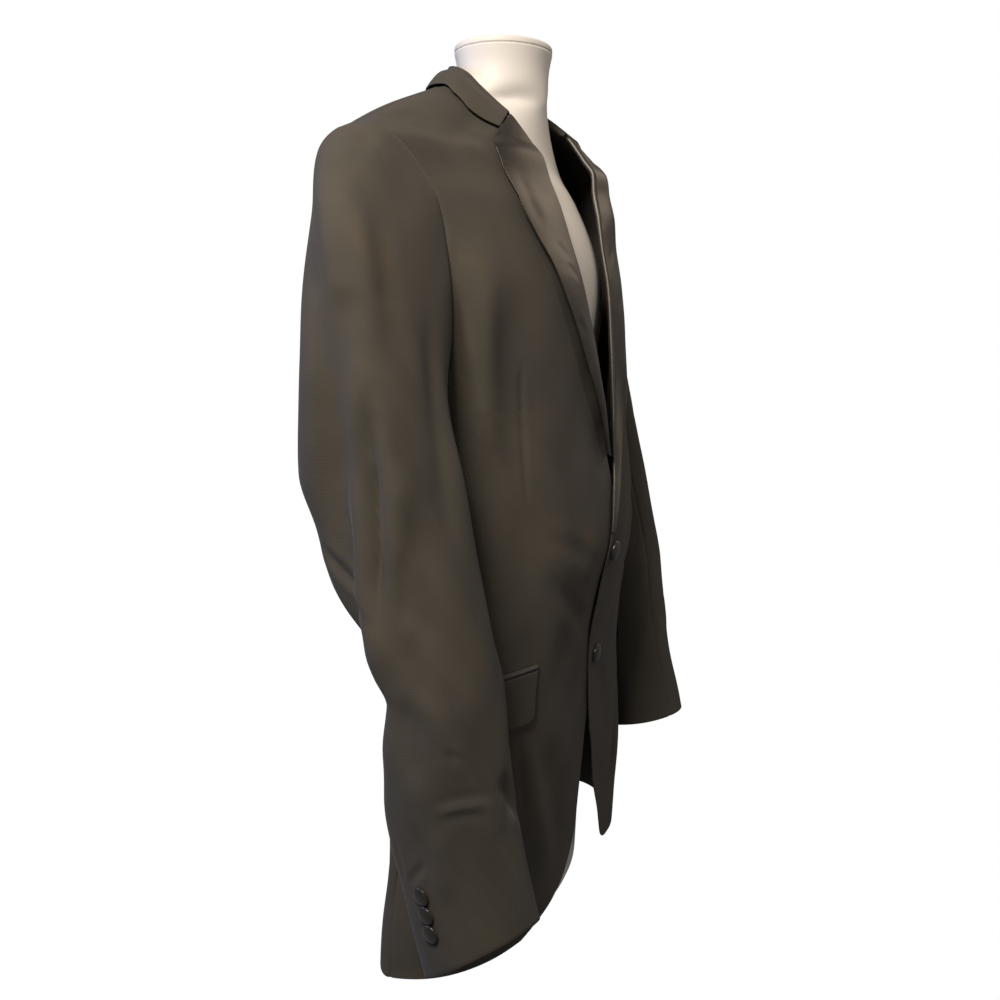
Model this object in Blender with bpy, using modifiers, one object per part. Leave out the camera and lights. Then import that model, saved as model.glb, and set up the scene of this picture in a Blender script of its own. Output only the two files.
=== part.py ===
"""Single-breasted tuxedo jacket, fastened, on a headless and limbless torso form.

Metres, +Z up. The front faces -Y and the wearer's left is +X. The origin is the centre of the
form's flat underside, so the form stands on z = 0 and the jacket hangs on its shoulders.

Every cloth panel is a loft of two skins, worked out from the tables below. The inner skin lies
one wall inside the outer one along the garment's own normal, so that two panels that are sewn
together keep an even gap through their whole thickness. The left half is worked out, and the
right half is its mirror image, apart from the front edges, the cuffs and the closure, where the
left front lies over the right one.
"""

import math

import bmesh
import bpy
import numpy as np
from mathutils import Matrix, Vector
from mathutils.bvhtree import BVHTree

# ---- Driving sizes ---------------------------------------------------------------------------
WALL = 0.0020  # cloth with its interlining
SEAM_GAP = 0.0003  # left open between two sewn pieces
HEM_Z = 0.030
HEM_DROP = 0.010  # the hem sinks this much from the front to the side, and stays so behind
UNDERARM_Z = 0.500
SHOULDER_Z = 0.712
NECK_POINT_Z = 0.769  # where shoulder seam and neckline meet
BACK_NECK_Z = 0.766
ARM_STEP = 12  # degrees between two points of the armhole, and two columns of a sleeve
FRONT_ARMHOLE_ANGLE = 28.5  # how far the armhole cuts into the front, degrees round the body
BACK_ARMHOLE_ANGLE = 34
LOWER_ROWS = 12
FRONT_COLUMNS = 11
BACK_COLUMNS = 9
BACK_NECK_COLUMNS = 3
OVERLAP_TOP_Z = 0.449  # where the two roll lines cross
OVERLAP_REACH = 0.022  # the fronts lie on each other this far past the middle
TUCK_FADE = 0.040
TUCK = WALL + SEAM_GAP + 0.0006

HIND_SEAM_ANGLE = -84  # degrees round the sleeve: 0 is outwards, +90 forwards
FOREARM_SEAM_ANGLE = 120
CAP_TOP_SLOPE = 0.50  # how steeply the sleeve leaves the shoulder point, and the underarm
CAP_LOW_SLOPE = 1.40
CAP_FRONT_SPREAD = 0.30
CAP_BACK_SPREAD = 0.05
CAP_FULLNESS = 1.0
CAP_ROWS = 6
SLEEVE_ROWS = 15
CUFF_MIDDLE_Z = {-1: 0.0935, 1: 0.1070}  # right and left
CUFF_RISE = {-1: 0.0305, 1: 0.0120}  # the cuff is this much higher in front, and lower behind
CUFF_LIFT = {-1: 0.0100, 1: -0.0030}  # and this much higher outside, and lower inside

LAPEL_COLUMNS = 4
COLLAR_STATIONS = 12  # to each side of the middle of the back
COLLAR_ROLL = 0.0042  # radius of the fold at the top of the collar
FLAP_TOP_Z = 0.2790
FLAP_DEPTH = 0.044
FLAP_SLOPE = 0.10
FLAP_FRONT_ANGLE = -51
FLAP_BACK_ANGLE = -3
JET_DEPTH = 0.0055

FRONT_BUTTON_RADIUS = 0.0092
CUFF_BUTTON_RADIUS = 0.0072
FRONT_BUTTON_X = -0.005
FRONT_BUTTON_HEIGHTS = (0.363, 0.261)
CUFF_BUTTON_HEIGHTS = (0.1565, 0.1418, 0.1271)
CUFF_BUTTON_ANGLE = -17
SHANK_RADIUS = 0.0012
BUTTONHOLE_LENGTH = 0.019
BUTTONHOLE_WIDTH = 0.0042

FORM_SIDES = 30
FORM_GAP = 0.0040  # how far the form's shoulders lie below the jacket's outer surface
NECK_TOP_Z = 0.8048
CAP_HEIGHT = 0.006

# ---- Tables ----------------------------------------------------------------------------------
# Outer surface of the closed jacket, a horizontal section for each row. Above the shoulder the
# half width is that of the sloping shoulder at this height.
BODY_COLUMNS = (
    "z", "half_width", "side_y", "front_y", "back_y", "front_square", "back_square",
)
BODY = (
    (0.010, 0.208, 0.018, -0.0900, 0.0880, 0.05, -0.16),
    (0.110, 0.200, 0.013, -0.0915, 0.0870, 0.05, -0.16),
    (0.200, 0.187, 0.008, -0.0950, 0.0870, 0.05, -0.14),
    (0.280, 0.178, 0.006, -0.0990, 0.0880, 0.05, -0.10),
    (0.330, 0.172, 0.006, -0.1070, 0.0900, 0.05, -0.05),
    (0.375, 0.170, 0.007, -0.1145, 0.0930, 0.05, 0.00),
    (0.420, 0.171, 0.008, -0.1115, 0.0980, 0.05, 0.00),
    (0.460, 0.174, 0.010, -0.1065, 0.1020, 0.04, 0.00),
    (0.500, 0.181, 0.012, -0.1020, 0.1050, 0.03, 0.00),
    (0.550, 0.195, 0.015, -0.0965, 0.1080, 0.02, 0.00),
    (0.600, 0.203, 0.016, -0.0900, 0.1080, 0.01, 0.00),
    (0.640, 0.204, 0.018, -0.0800, 0.1030, -0.03, 0.00),
    (0.665, 0.206, 0.020, -0.0730, 0.0970, -0.06, 0.00),
    (0.690, 0.221, 0.024, -0.0650, 0.0900, -0.16, 0.00),
    (0.706, 0.226, 0.028, -0.0620, 0.0840, -0.20, 0.00),
    (0.718, 0.199, 0.032, -0.0560, 0.0780, -0.22, 0.00),
    (0.731, 0.168, 0.034, -0.0520, 0.0720, -0.22, 0.00),
    (0.744, 0.136, 0.033, -0.0500, 0.0650, -0.22, 0.00),
    (0.755, 0.107, 0.030, -0.0410, 0.0580, -0.22, 0.00),
    (0.762, 0.088, 0.027, -0.0360, 0.0535, -0.22, 0.00),
    (0.768, 0.072, 0.025, -0.0350, 0.0505, -0.22, 0.00),
    (0.776, 0.052, 0.024, -0.0340, 0.0470, -0.22, 0.00),
)

# Main folds of the hanging cloth, by angle round the body: -90 is the middle of the front,
# 0 the side, +90 the middle of the back. A negative depth is a hollow.
FOLD_COLUMNS = ("angle", "width", "depth", "low_z", "high_z")
BODY_FOLDS = (
    (-43, 8, -0.0040, 0.31, 0.60),
    (-56, 7, 0.0025, 0.22, 0.60),
    (-34, 9, -0.0050, 0.02, 0.26),
    (-18, 8, 0.0030, 0.02, 0.30),
    (22, 9, -0.0045, 0.02, 0.42),
    (40, 9, 0.0040, 0.02, 0.50),
    (62, 10, -0.0035, 0.02, 0.40),
    (52, 9, -0.0040, 0.42, 0.64),
)

# Where the cloth of the left front, hanging free, swings forward of its mirror image.
SWING_COLUMNS = ("x", "z", "x_width", "z_width", "forward")
SWING = (
    (0.105, 0.724, 0.056, 0.074, 0.0270),
    (0.125, 0.120, 0.060, 0.110, 0.0080),
)

# Front edge below the lapel, roll line along it, and neckline above it.
EDGE_COLUMNS = ("z", "left_x", "right_x")
FRONT_EDGE = (
    (0.030, 0.0950, 0.1300),
    (0.036, 0.0650, 0.1120),
    (0.046, 0.0500, 0.0830),
    (0.060, 0.0420, 0.0590),
    (0.084, 0.0330, 0.0370),
    (0.128, 0.0130, 0.0221),
    (0.166, 0.0010, 0.0165),
    (0.190, -0.0080, 0.0140),
    (0.250, -0.0206, -0.0030),
    (0.300, -0.0229, -0.0120),
    (0.334, -0.0210, -0.0140),
    (0.370, -0.0160, -0.0140),
    (0.410, -0.0050, -0.0060),
    (0.449, 0.0070, 0.0060),
    (0.499, 0.0220, 0.0140),
    (0.538, 0.0310, 0.0210),
    (0.583, 0.0400, 0.0325),
    (0.611, 0.0450, 0.0395),
    (0.638, 0.0490, 0.0427),
    (0.665, 0.0530, 0.0450),
    (0.690, 0.0570, 0.0480),
    (0.718, 0.0595, 0.0535),
    (0.744, 0.0590, 0.0583),
    (0.752, 0.0600, 0.0600),
    (0.762, 0.0655, 0.0655),
    (0.769, 0.0714, 0.0714),
)

# The lapel from its gorge down to the point where it breaks: height on the roll line, the edge
# point across from it, and how far the edge stands off the chest.
LAPEL_COLUMN_NAMES = ("roll_z", "edge_x", "edge_z", "edge_lift")
LAPEL = (
    (0.7405, 0.0885, 0.7180, 0.0010),
    (0.7240, 0.1025, 0.7060, 0.0015),
    (0.7000, 0.1030, 0.6850, 0.0020),
    (0.6750, 0.1035, 0.6620, 0.0025),
    (0.6500, 0.0970, 0.6400, 0.0030),
    (0.6250, 0.0885, 0.6180, 0.0040),
    (0.5980, 0.0795, 0.5930, 0.0050),
    (0.5700, 0.0685, 0.5660, 0.0060),
    (0.5400, 0.0570, 0.5370, 0.0065),
    (0.5100, 0.0450, 0.5080, 0.0070),
    (0.4800, 0.0310, 0.4790, 0.0065),
    (0.4520, 0.0170, 0.4515, 0.0055),
    (0.4250, 0.0060, 0.4245, 0.0040),
    (0.4000, -0.0040, 0.3998, 0.0025),
    (0.3800, -0.0105, 0.3798, 0.0015),
)
RIGHT_LAPEL_ROWS = 12  # the right lapel passes under the left front below these

# Collar, from the gorge round to the middle of the back: foot of the stand, top of the fold,
# and the fall's edge given by its angle and height on the jacket.
COLLAR_COLUMNS = (
    "stand_x", "stand_y", "stand_z", "roll_x", "roll_y", "roll_z", "fall_angle", "fall_z",
)
COLLAR = (
    (0.0535, -0.0240, 0.7430, 0.0565, -0.0285, 0.7460, -58.5, 0.7285),
    (0.0537, -0.0130, 0.7525, 0.0560, -0.0170, 0.7560, -50.0, 0.7330),
    (0.0565, 0.0000, 0.7610, 0.0560, -0.0030, 0.7690, -37.0, 0.7410),
    (0.0605, 0.0150, 0.7690, 0.0550, 0.0115, 0.7820, -22.0, 0.7540),
    (0.0520, 0.0320, 0.7700, 0.0460, 0.0270, 0.7890, 0.0, 0.7650),
    (0.0300, 0.0430, 0.7690, 0.0285, 0.0400, 0.7930, 50.0, 0.7630),
    (0.0000, 0.0470, 0.7690, 0.0000, 0.0455, 0.7950, 90.0, 0.7570),
)
FALL_LIFT = 0.0030

# Sleeve, a horizontal section for each row.
SLEEVE_COLUMNS = ("z", "middle_x", "half_width", "front_y", "back_y")
SLEEVE = (
    (0.040, 0.235, 0.0430, -0.1460, -0.0490),
    (0.060, 0.235, 0.0440, -0.1410, -0.0430),
    (0.130, 0.236, 0.0460, -0.1250, -0.0260),
    (0.180, 0.237, 0.0480, -0.1130, -0.0160),
    (0.220, 0.238, 0.0510, -0.1050, -0.0120),
    (0.260, 0.238, 0.0540, -0.1000, -0.0140),
    (0.300, 0.238, 0.0550, -0.0950, -0.0200),
    (0.320, 0.238, 0.0540, -0.0920, -0.0050),
    (0.340, 0.238, 0.0530, -0.0880, 0.0110),
    (0.380, 0.237, 0.0510, -0.0800, 0.0360),
    (0.420, 0.236, 0.0500, -0.0720, 0.0490),
    (0.460, 0.235, 0.0510, -0.0640, 0.0620),
    (0.500, 0.233, 0.0560, -0.0530, 0.0600),
    (0.540, 0.231, 0.0600, -0.0440, 0.0560),
    (0.580, 0.230, 0.0600, -0.0360, 0.0520),
    (0.630, 0.229, 0.0580, -0.0300, 0.0450),
)

# The long ridge down the sleeve and the deep hollow behind it, by angle round the sleeve.
SLEEVE_FOLD_COLUMNS = ("z", "ridge_angle", "ridge_height", "hollow_depth")
SLEEVE_FOLD = (
    (0.040, -60, 0.0020, 0.0000),
    (0.180, -56, 0.0030, 0.0000),
    (0.300, -40, 0.0050, 0.0040),
    (0.360, -4, 0.0070, 0.0120),
    (0.430, 18, 0.0070, 0.0130),
    (0.500, 28, 0.0060, 0.0110),
    (0.560, 24, 0.0050, 0.0080),
    (0.630, 8, 0.0040, 0.0050),
)
RIDGE_WIDTH = 18
HOLLOW_BEHIND = 36
HOLLOW_WIDTH = 20

# Torso form, a horizontal section for each row, up to its shoulders, then its neck. On the
# shoulders only the front is the form's own: the rest lies under the cloth.
FORM_COLUMNS = ("z", "half_width", "side_y", "front_y", "back_y", "front_square")
FORM = (
    (0.000, 0.124, 0.000, -0.0560, 0.0580, 0.02),
    (0.003, 0.129, 0.000, -0.0600, 0.0630, 0.02),
    (0.010, 0.132, 0.000, -0.0620, 0.0650, 0.02),
    (0.070, 0.138, 0.000, -0.0640, 0.0680, 0.02),
    (0.140, 0.146, 0.000, -0.0650, 0.0700, 0.02),
    (0.220, 0.151, 0.001, -0.0650, 0.0720, 0.02),
    (0.300, 0.150, 0.003, -0.0650, 0.0750, 0.02),
    (0.370, 0.150, 0.006, -0.0650, 0.0800, 0.02),
    (0.440, 0.156, 0.009, -0.0660, 0.0860, 0.02),
    (0.510, 0.168, 0.013, -0.0705, 0.0930, 0.02),
    (0.560, 0.179, 0.015, -0.0790, 0.0960, 0.01),
    (0.600, 0.184, 0.016, -0.0820, 0.0960, 0.00),
    (0.625, 0.186, 0.017, -0.0790, 0.0940, -0.03),
    (0.648, 0.189, 0.019, -0.0730, 0.0910, -0.09),
    (0.670, 0.195, 0.021, -0.0640, 0.0860, -0.16),
)
SHOULDER_FRONT_COLUMNS = ("z", "front_y")
FORM_SHOULDER = (
    (0.688, -0.0550),
    (0.700, -0.0450),
    (0.710, -0.0415),
    (0.722, -0.0395),
    (0.734, -0.0385),
    (0.745, -0.0385),
    (0.753, -0.0388),
)
FORM_SHOULDER_SQUARE = -0.22
FORM_WIDEST = 0.202  # half the width of the form's shoulders
NECK = (
    (0.7590, 0.0660, 0.0240, -0.0400, 0.0480, -0.20),
    (0.7650, 0.0540, 0.0120, -0.0400, 0.0430, -0.10),
    (0.7730, 0.0465, 0.0030, -0.0397, 0.0400, 0.00),
    (0.7820, 0.0440, 0.0000, -0.0395, 0.0395, 0.00),
    (0.7910, 0.0440, 0.0000, -0.0402, 0.0402, 0.00),
    (0.7985, 0.0455, 0.0000, -0.0418, 0.0418, 0.00),
    (0.8048, 0.0468, 0.0000, -0.0432, 0.0432, 0.00),
)

CLOTH = ("Wool suiting", (0.016, 0.015, 0.013), 0.85, 0.0)
SATIN = ("Satin facing", (0.040, 0.036, 0.031), 0.38, 0.0)
COVERED = ("Satin-covered button", (0.018, 0.017, 0.016), 0.32, 0.0)
FORM_WHITE = ("Matt white form", (0.72, 0.71, 0.69), 0.55, 0.0)


# ---- Small tools -----------------------------------------------------------------------------
def column(table, names, name):
    """One named column of a table, as an array."""
    return np.array([row[names.index(name)] for row in table], float)


def smooth_curve(xs, ys, at):
    """Piecewise cubic through the points that never overshoots them, held at its two ends."""
    xs, ys = np.asarray(xs, float), np.asarray(ys, float)
    step = np.diff(xs)
    slope = np.diff(ys) / step
    tangent = np.zeros(len(xs))
    same = slope[:-1] * slope[1:] > 0
    first = 2 * step[1:] + step[:-1]
    second = step[1:] + 2 * step[:-1]
    safe = np.where(same, slope[:-1], 1.0), np.where(same, slope[1:], 1.0)
    mean = (first + second) / (first / safe[0] + second / safe[1])
    tangent[1:-1] = np.where(same, mean, 0.0)
    tangent[0], tangent[-1] = slope[0], slope[-1]
    at = np.clip(np.asarray(at, float), xs[0], xs[-1])
    low = np.clip(np.searchsorted(xs, at, side="right") - 1, 0, len(step) - 1)
    t = (at - xs[low]) / step[low]
    return (
        ys[low] * (1 + 2 * t) * (1 - t) ** 2
        + tangent[low] * step[low] * t * (1 - t) ** 2
        + ys[low + 1] * t * t * (3 - 2 * t)
        - tangent[low + 1] * step[low] * t * t * (1 - t)
    )


def by_height(table, names, name, z):
    """A named column read at any height."""
    return smooth_curve(column(table, names, names[0]), column(table, names, name), z)


def fade(value):
    """0 below 0, 1 above 1, and smooth between."""
    t = np.clip(value, 0.0, 1.0)
    return t * t * (3 - 2 * t)


def unit(vectors):
    """The same vectors at length 1."""
    return vectors / np.linalg.norm(vectors, axis=-1, keepdims=True)


def between(first, last, share):
    """The point that lies this share of the way from first to last."""
    return first + (last - first) * share


# ---- The jacket's outer surface ---------------------------------------------------------------
def body_folds(angle, z):
    """How far the main folds move the cloth out at these angles (degrees) and heights."""
    moved = np.zeros(np.broadcast(angle, z).shape)
    for middle, width, depth, low, high in BODY_FOLDS:
        along = fade((z - low) / 0.07) * fade((high - z) / 0.09)
        moved = moved + depth * along * np.exp(-(((angle - middle) / width) ** 2))
    return moved


def section_point(angle, z, half, side, front, back, front_square, back_square):
    """An oval section with its widest place at side; a square above 0 swells its corners."""
    turn = np.radians(angle)
    depth = np.where(np.sin(turn) < 0, side - front, back - side)
    square = np.where(np.sin(turn) < 0, front_square, back_square)
    swell = 1 + square * np.sin(2 * turn) ** 2
    x = half * np.cos(turn) * swell
    y = side + depth * np.sin(turn) * swell
    return np.stack(np.broadcast_arrays(x, y, np.asarray(z, float)), axis=-1)


def body_point(angle, z):
    """A point of the jacket's left half, by angle round the body and height."""
    angle, z = np.broadcast_arrays(np.asarray(angle, float), np.asarray(z, float))
    sizes = [by_height(BODY, BODY_COLUMNS, name, z) for name in BODY_COLUMNS[1:]]
    point = section_point(angle, z, *sizes)
    turn = np.radians(angle)
    outward = unit(np.stack([np.cos(turn) * 0.5, np.sin(turn), 0 * turn], axis=-1))
    return point + outward * body_folds(angle, z)[..., None]


def body_normal(angle, z):
    """Outward normal there, from two small steps."""
    small_angle, small_z = 0.5, 0.0015
    round_body = body_point(angle + small_angle, z) - body_point(angle - small_angle, z)
    up_body = body_point(angle, z + small_z) - body_point(angle, z - small_z)
    return unit(np.cross(round_body, up_body))


def front_angle(x, z):
    """The angle at which the front is at this x, for x from past the middle to the side."""
    x, z = np.broadcast_arrays(np.asarray(x, float), np.asarray(z, float))
    angles = np.linspace(-125, 0, 501)
    found = np.empty(x.shape)
    for place in np.ndindex(x.shape):
        xs = body_point(angles, z[place])[:, 0]
        found[place] = np.interp(x[place], xs, angles)
    return found


def tuck(points):
    """How far the right front lies in under the left one at these points (left-half x)."""
    reach = 1 - fade((points[..., 0] - OVERLAP_REACH) / TUCK_FADE)
    height = 1 - fade((points[..., 2] - OVERLAP_TOP_Z - 0.010) / 0.045)
    return TUCK * reach * height


def armhole(degrees, forward):
    """(angle, z) on the armhole: 0 degrees is the underarm and 180 the shoulder point."""
    turn = np.radians(degrees)
    middle = (UNDERARM_Z + SHOULDER_Z) / 2
    reach = -FRONT_ARMHOLE_ANGLE if forward else BACK_ARMHOLE_ANGLE
    fullness = np.where(np.asarray(degrees) > 90, 0.4, 0.8)
    angle = reach * np.abs(np.sin(turn)) ** fullness
    return angle, middle - (SHOULDER_Z - UNDERARM_Z) / 2 * np.cos(turn)


def swing(points):
    """The same points, with those of the left front moved forward where its cloth swings out."""
    points = np.array(points, float)
    front = fade((0.020 - points[..., 1]) / 0.040)
    for x, z, x_width, z_width, forward in SWING:
        away = ((points[..., 0] - x) / x_width) ** 2 + ((points[..., 2] - z) / z_width) ** 2
        points[..., 1] -= forward * front * np.exp(-away)
    return points


# ---- Meshes ------------------------------------------------------------------------------------
def material_of(finish):
    """The Principled material of this name, made once."""
    name, colour, roughness, metallic = finish
    material = bpy.data.materials.get(name)
    if material is None:
        material = bpy.data.materials.new(name)
        material.use_nodes = True
        shader = material.node_tree.nodes["Principled BSDF"]
        shader.inputs["Base Color"].default_value = (*colour, 1.0)
        shader.inputs["Roughness"].default_value = roughness
        shader.inputs["Metallic"].default_value = metallic
        material.diffuse_color = (*colour, 1.0)
    return material


def add_object(name, mesh, finish, collection):
    """Links a mesh as a named, smooth-shaded object."""
    mesh.materials.append(material_of(finish))
    mesh.shade_smooth()
    mesh.set_sharp_from_angle(angle=math.radians(50))
    thing = bpy.data.objects.new(name, mesh)
    collection.objects.link(thing)
    return thing


def grid_faces(rows, columns, closed=False):
    """Quads between the rows and columns of a grid; closed joins the last column to the first."""
    index = np.arange(rows * columns).reshape(rows, columns)
    if closed:
        index = np.concatenate([index, index[:, :1]], axis=1)
    corners = [index[:-1, :-1], index[:-1, 1:], index[1:, 1:], index[1:, :-1]]
    return np.stack(corners, axis=-1).reshape(-1, 4)


def grid_normals(grid, closed=False):
    """Unit normals of a grid, from the neighbours of each point."""
    if closed:
        across = np.roll(grid, -1, axis=1) - np.roll(grid, 1, axis=1)
    else:
        across = np.gradient(grid, axis=1)
    return unit(np.cross(across, np.gradient(grid, axis=0)))


def rim_of(rows, columns):
    """Indices of a grid's points once round its border, the same way round as its faces."""
    index = np.arange(rows * columns).reshape(rows, columns)
    sides = [index[0, :-1], index[:-1, -1], index[-1, :0:-1], index[:0:-1, 0]]
    return np.concatenate(sides)


def add_sheet(name, grid, out, finish, collection, side=1, swings=True):
    """A panel with its outer skin on the grid, out being the outward normals of its points.

    side is 1 for the left, -1 for its mirror image. The sleeves don't swing with the front.
    """
    rows, columns = grid.shape[:2]
    outer, inner = grid.reshape(-1, 3), (grid - out * WALL).reshape(-1, 3)
    count = len(outer)
    faces = grid_faces(rows, columns)
    rim = rim_of(rows, columns)
    next_rim = np.roll(rim, -1)
    border = np.stack([rim, rim + count, next_rim + count, next_rim], axis=-1)
    faces = np.concatenate([faces, faces[:, ::-1] + count, border])
    first = grid[1, 1] - grid[0, 0]
    second = grid[1, 0] - grid[0, 1]
    facing = np.dot(np.cross(first, second), out[0, 0]) * side
    faces = faces if facing > 0 else faces[:, ::-1]
    points = np.concatenate([outer, inner]) * np.array([side, 1.0, 1.0])
    points = swing(points) if swings else points
    mesh = bpy.data.meshes.new(name)
    mesh.from_pydata(points.tolist(), [], faces.tolist())
    return add_object(name, mesh, finish, collection)


def pull_in(grid, first_row=0.0, last_row=0.0, first_column=0.0, last_column=0.0):
    """Moves the edges of a grid in by these lengths, to leave the gap at a seam."""
    grid = grid.copy()
    grid[0] += unit(grid[1] - grid[0]) * first_row
    grid[-1] += unit(grid[-2] - grid[-1]) * last_row
    grid[:, 0] += unit(grid[:, 1] - grid[:, 0]) * first_column
    grid[:, -1] += unit(grid[:, -2] - grid[:, -1]) * last_column
    return grid


def side_rows():
    """(angle, z) of each row's end at the side seam: z of the seam, then the armhole's degrees."""
    share = np.linspace(0, 1, LOWER_ROWS + 1)
    low = HEM_Z - HEM_DROP
    seam = low + (UNDERARM_Z - low) * share**1.6
    return seam, np.arange(ARM_STEP, 181, ARM_STEP)


# ---- Panels ------------------------------------------------------------------------------------
def front_grid(side):
    """A front: each row runs from the edge, roll line or neckline to the side or armhole."""
    seam, arm = side_rows()
    arm_angle, arm_z = armhole(arm, forward=True)
    side_angle = np.concatenate([np.zeros(len(seam)), arm_angle])
    side_z = np.concatenate([seam, arm_z])
    stretch = (NECK_POINT_Z - UNDERARM_Z) / (SHOULDER_Z - UNDERARM_Z)
    edge_z = np.where(side_z > UNDERARM_Z, UNDERARM_Z + (side_z - UNDERARM_Z) * stretch, side_z)
    sink = HEM_DROP * (1 - fade((side_z - seam[0]) / 0.25))
    edge_z = edge_z + sink
    edge_x = by_height(FRONT_EDGE, EDGE_COLUMNS, "left_x" if side > 0 else "right_x", edge_z)
    edge_angle = front_angle(edge_x, edge_z)
    edge_angle[-1] = 0.0
    share = np.linspace(0, 1, FRONT_COLUMNS + 1)
    angle = between(edge_angle[:, None], side_angle[:, None], share)
    height = between(edge_z[:, None], side_z[:, None], share)
    return angle, height


def make_front(side, collection):
    """One front, its right copy tucked under the left one where they overlap."""
    angle, height = front_grid(side)
    grid, out = body_point(angle, height), body_normal(angle, height)
    if side < 0:
        grid = grid - out * tuck(grid)[..., None]
    grid = pull_in(grid, last_row=SEAM_GAP, last_column=SEAM_GAP / 2)
    name = "front_left" if side > 0 else "front_right"
    return add_sheet(name, grid, out, CLOTH, collection, side)


def make_back(side, collection):
    """Half of the back. Its top row follows the neckline, then the shoulder seam."""
    seam, arm = side_rows()
    arm_angle, arm_z = armhole(arm, forward=False)
    side_angle = np.concatenate([np.zeros(len(seam)), arm_angle])
    side_z = np.concatenate([seam, arm_z])
    stretch = (BACK_NECK_Z - UNDERARM_Z) / (SHOULDER_Z - UNDERARM_Z)
    middle_z = np.where(side_z > UNDERARM_Z, UNDERARM_Z + (side_z - UNDERARM_Z) * stretch, side_z)
    share = np.linspace(0, 1, BACK_COLUMNS + 1)
    plain_angle = between(90.0, side_angle[:, None], share)
    plain_z = between(middle_z[:, None], side_z[:, None], share)
    corner = BACK_NECK_COLUMNS / BACK_COLUMNS
    round_neck = np.clip(share / corner, 0, 1)
    down_shoulder = np.clip((share - corner) / (1 - corner), 0, 1)
    top_angle = 90.0 * (1 - round_neck)
    top_z = between(BACK_NECK_Z, NECK_POINT_Z, round_neck) - (
        NECK_POINT_Z - SHOULDER_Z
    ) * down_shoulder
    upness = np.clip((side_z - UNDERARM_Z) / (SHOULDER_Z - UNDERARM_Z), 0, 1)[:, None] ** 4
    angle = plain_angle + (top_angle - plain_angle[-1]) * upness
    z = plain_z + (top_z - plain_z[-1]) * upness
    grid, out = body_point(angle, z), body_normal(angle, z)
    out[:, 0, 0] = 0.0
    grid = pull_in(grid, last_row=SEAM_GAP, first_column=SEAM_GAP / 2, last_column=SEAM_GAP / 2)
    name = "back_left" if side > 0 else "back_right"
    return add_sheet(name, grid, out, CLOTH, collection, side)


def sleeve_point(angle, z):
    """A point of the left sleeve's tube, by angle round it (0 outwards, +90 forwards)."""
    angle, z = np.broadcast_arrays(np.asarray(angle, float), np.asarray(z, float))
    middle, half, front, back = (
        by_height(SLEEVE, SLEEVE_COLUMNS, name, z) for name in SLEEVE_COLUMNS[1:]
    )
    ridge, height, hollow = (
        by_height(SLEEVE_FOLD, SLEEVE_FOLD_COLUMNS, name, z) for name in SLEEVE_FOLD_COLUMNS[1:]
    )
    bump = height * np.exp(-(((angle - ridge) / RIDGE_WIDTH) ** 2))
    dent = hollow * np.exp(-(((angle - ridge + HOLLOW_BEHIND) / HOLLOW_WIDTH) ** 2))
    turn = np.radians(angle)
    out = 1.0 + (bump - dent) / half
    x = middle + half * np.cos(turn) * out
    y = (front + back) / 2 - (back - front) / 2 * np.sin(turn) * out
    return np.stack([x, y, z], axis=-1)


def sleeve_grid(side):
    """The left sleeve all round, from the hind-arm seam: rows of the cap, then of the tube."""
    angle = np.arange(HIND_SEAM_ANGLE, HIND_SEAM_ANGLE + 360, ARM_STEP).astype(float)
    from_top = np.abs((angle + 180) % 360 - 180)
    forward = ((angle + 360) % 360) <= 180
    hole = np.array([armhole(180 - turn, ahead) for turn, ahead in zip(from_top, forward)])
    start = body_point(hole[:, 0], hole[:, 1])
    turn = np.radians(from_top)
    down_share = CAP_TOP_SLOPE + (CAP_LOW_SLOPE - CAP_TOP_SLOPE) * (1 - np.cos(turn)) / 2
    spread = np.sin(turn) * np.where(forward, -CAP_FRONT_SPREAD, CAP_BACK_SPREAD)
    leave = np.stack([np.ones(len(turn)), spread, -down_share], axis=-1)
    top_z = 0.5425 + 0.0725 * np.cos(np.radians(angle))
    join = sleeve_point(angle, top_z)
    down = unit(sleeve_point(angle, top_z - 0.004) - join)
    reach = np.linalg.norm(join - start, axis=-1)[:, None]
    t = np.linspace(0, 1, CAP_ROWS + 1)[:-1, None, None]
    start = start + unit(leave) * SEAM_GAP * 2
    cap = (
        start * (1 + 2 * t) * (1 - t) ** 2
        + unit(leave) * reach * CAP_FULLNESS * t * (1 - t) ** 2
        + join * t * t * (3 - 2 * t)
        - down * reach * CAP_FULLNESS * t * t * (1 - t)
    )
    turned = np.radians(angle)
    end_z = CUFF_MIDDLE_Z[side] + CUFF_RISE[side] * np.sin(turned)
    end_z = end_z + CUFF_LIFT[side] * np.cos(turned)
    share = np.linspace(0, 1, SLEEVE_ROWS + 1)[:, None]
    tube = sleeve_point(angle, between(top_z, end_z, share))
    return np.concatenate([cap, tube])


def make_sleeve(side, collection):
    """Under sleeve and top sleeve, joined at two seams. Returns the top sleeve."""
    word = "left" if side > 0 else "right"
    half_gap = SEAM_GAP * 1.3
    tube = sleeve_grid(side)
    out = grid_normals(tube, closed=True)
    tube, out = (np.concatenate([part, part[:, :1]], axis=1) for part in (tube, out))
    seam = (FOREARM_SEAM_ANGLE - HIND_SEAM_ANGLE) // ARM_STEP
    for piece, columns in (
        ("under_sleeve", slice(seam, None)),
        ("top_sleeve", slice(0, seam + 1)),
    ):
        grid = pull_in(tube[:, columns], first_column=half_gap, last_column=half_gap)
        name = f"{piece}_{word}"
        sheet = add_sheet(name, grid, out[:, columns], CLOTH, collection, side, False)
    return sheet


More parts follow.
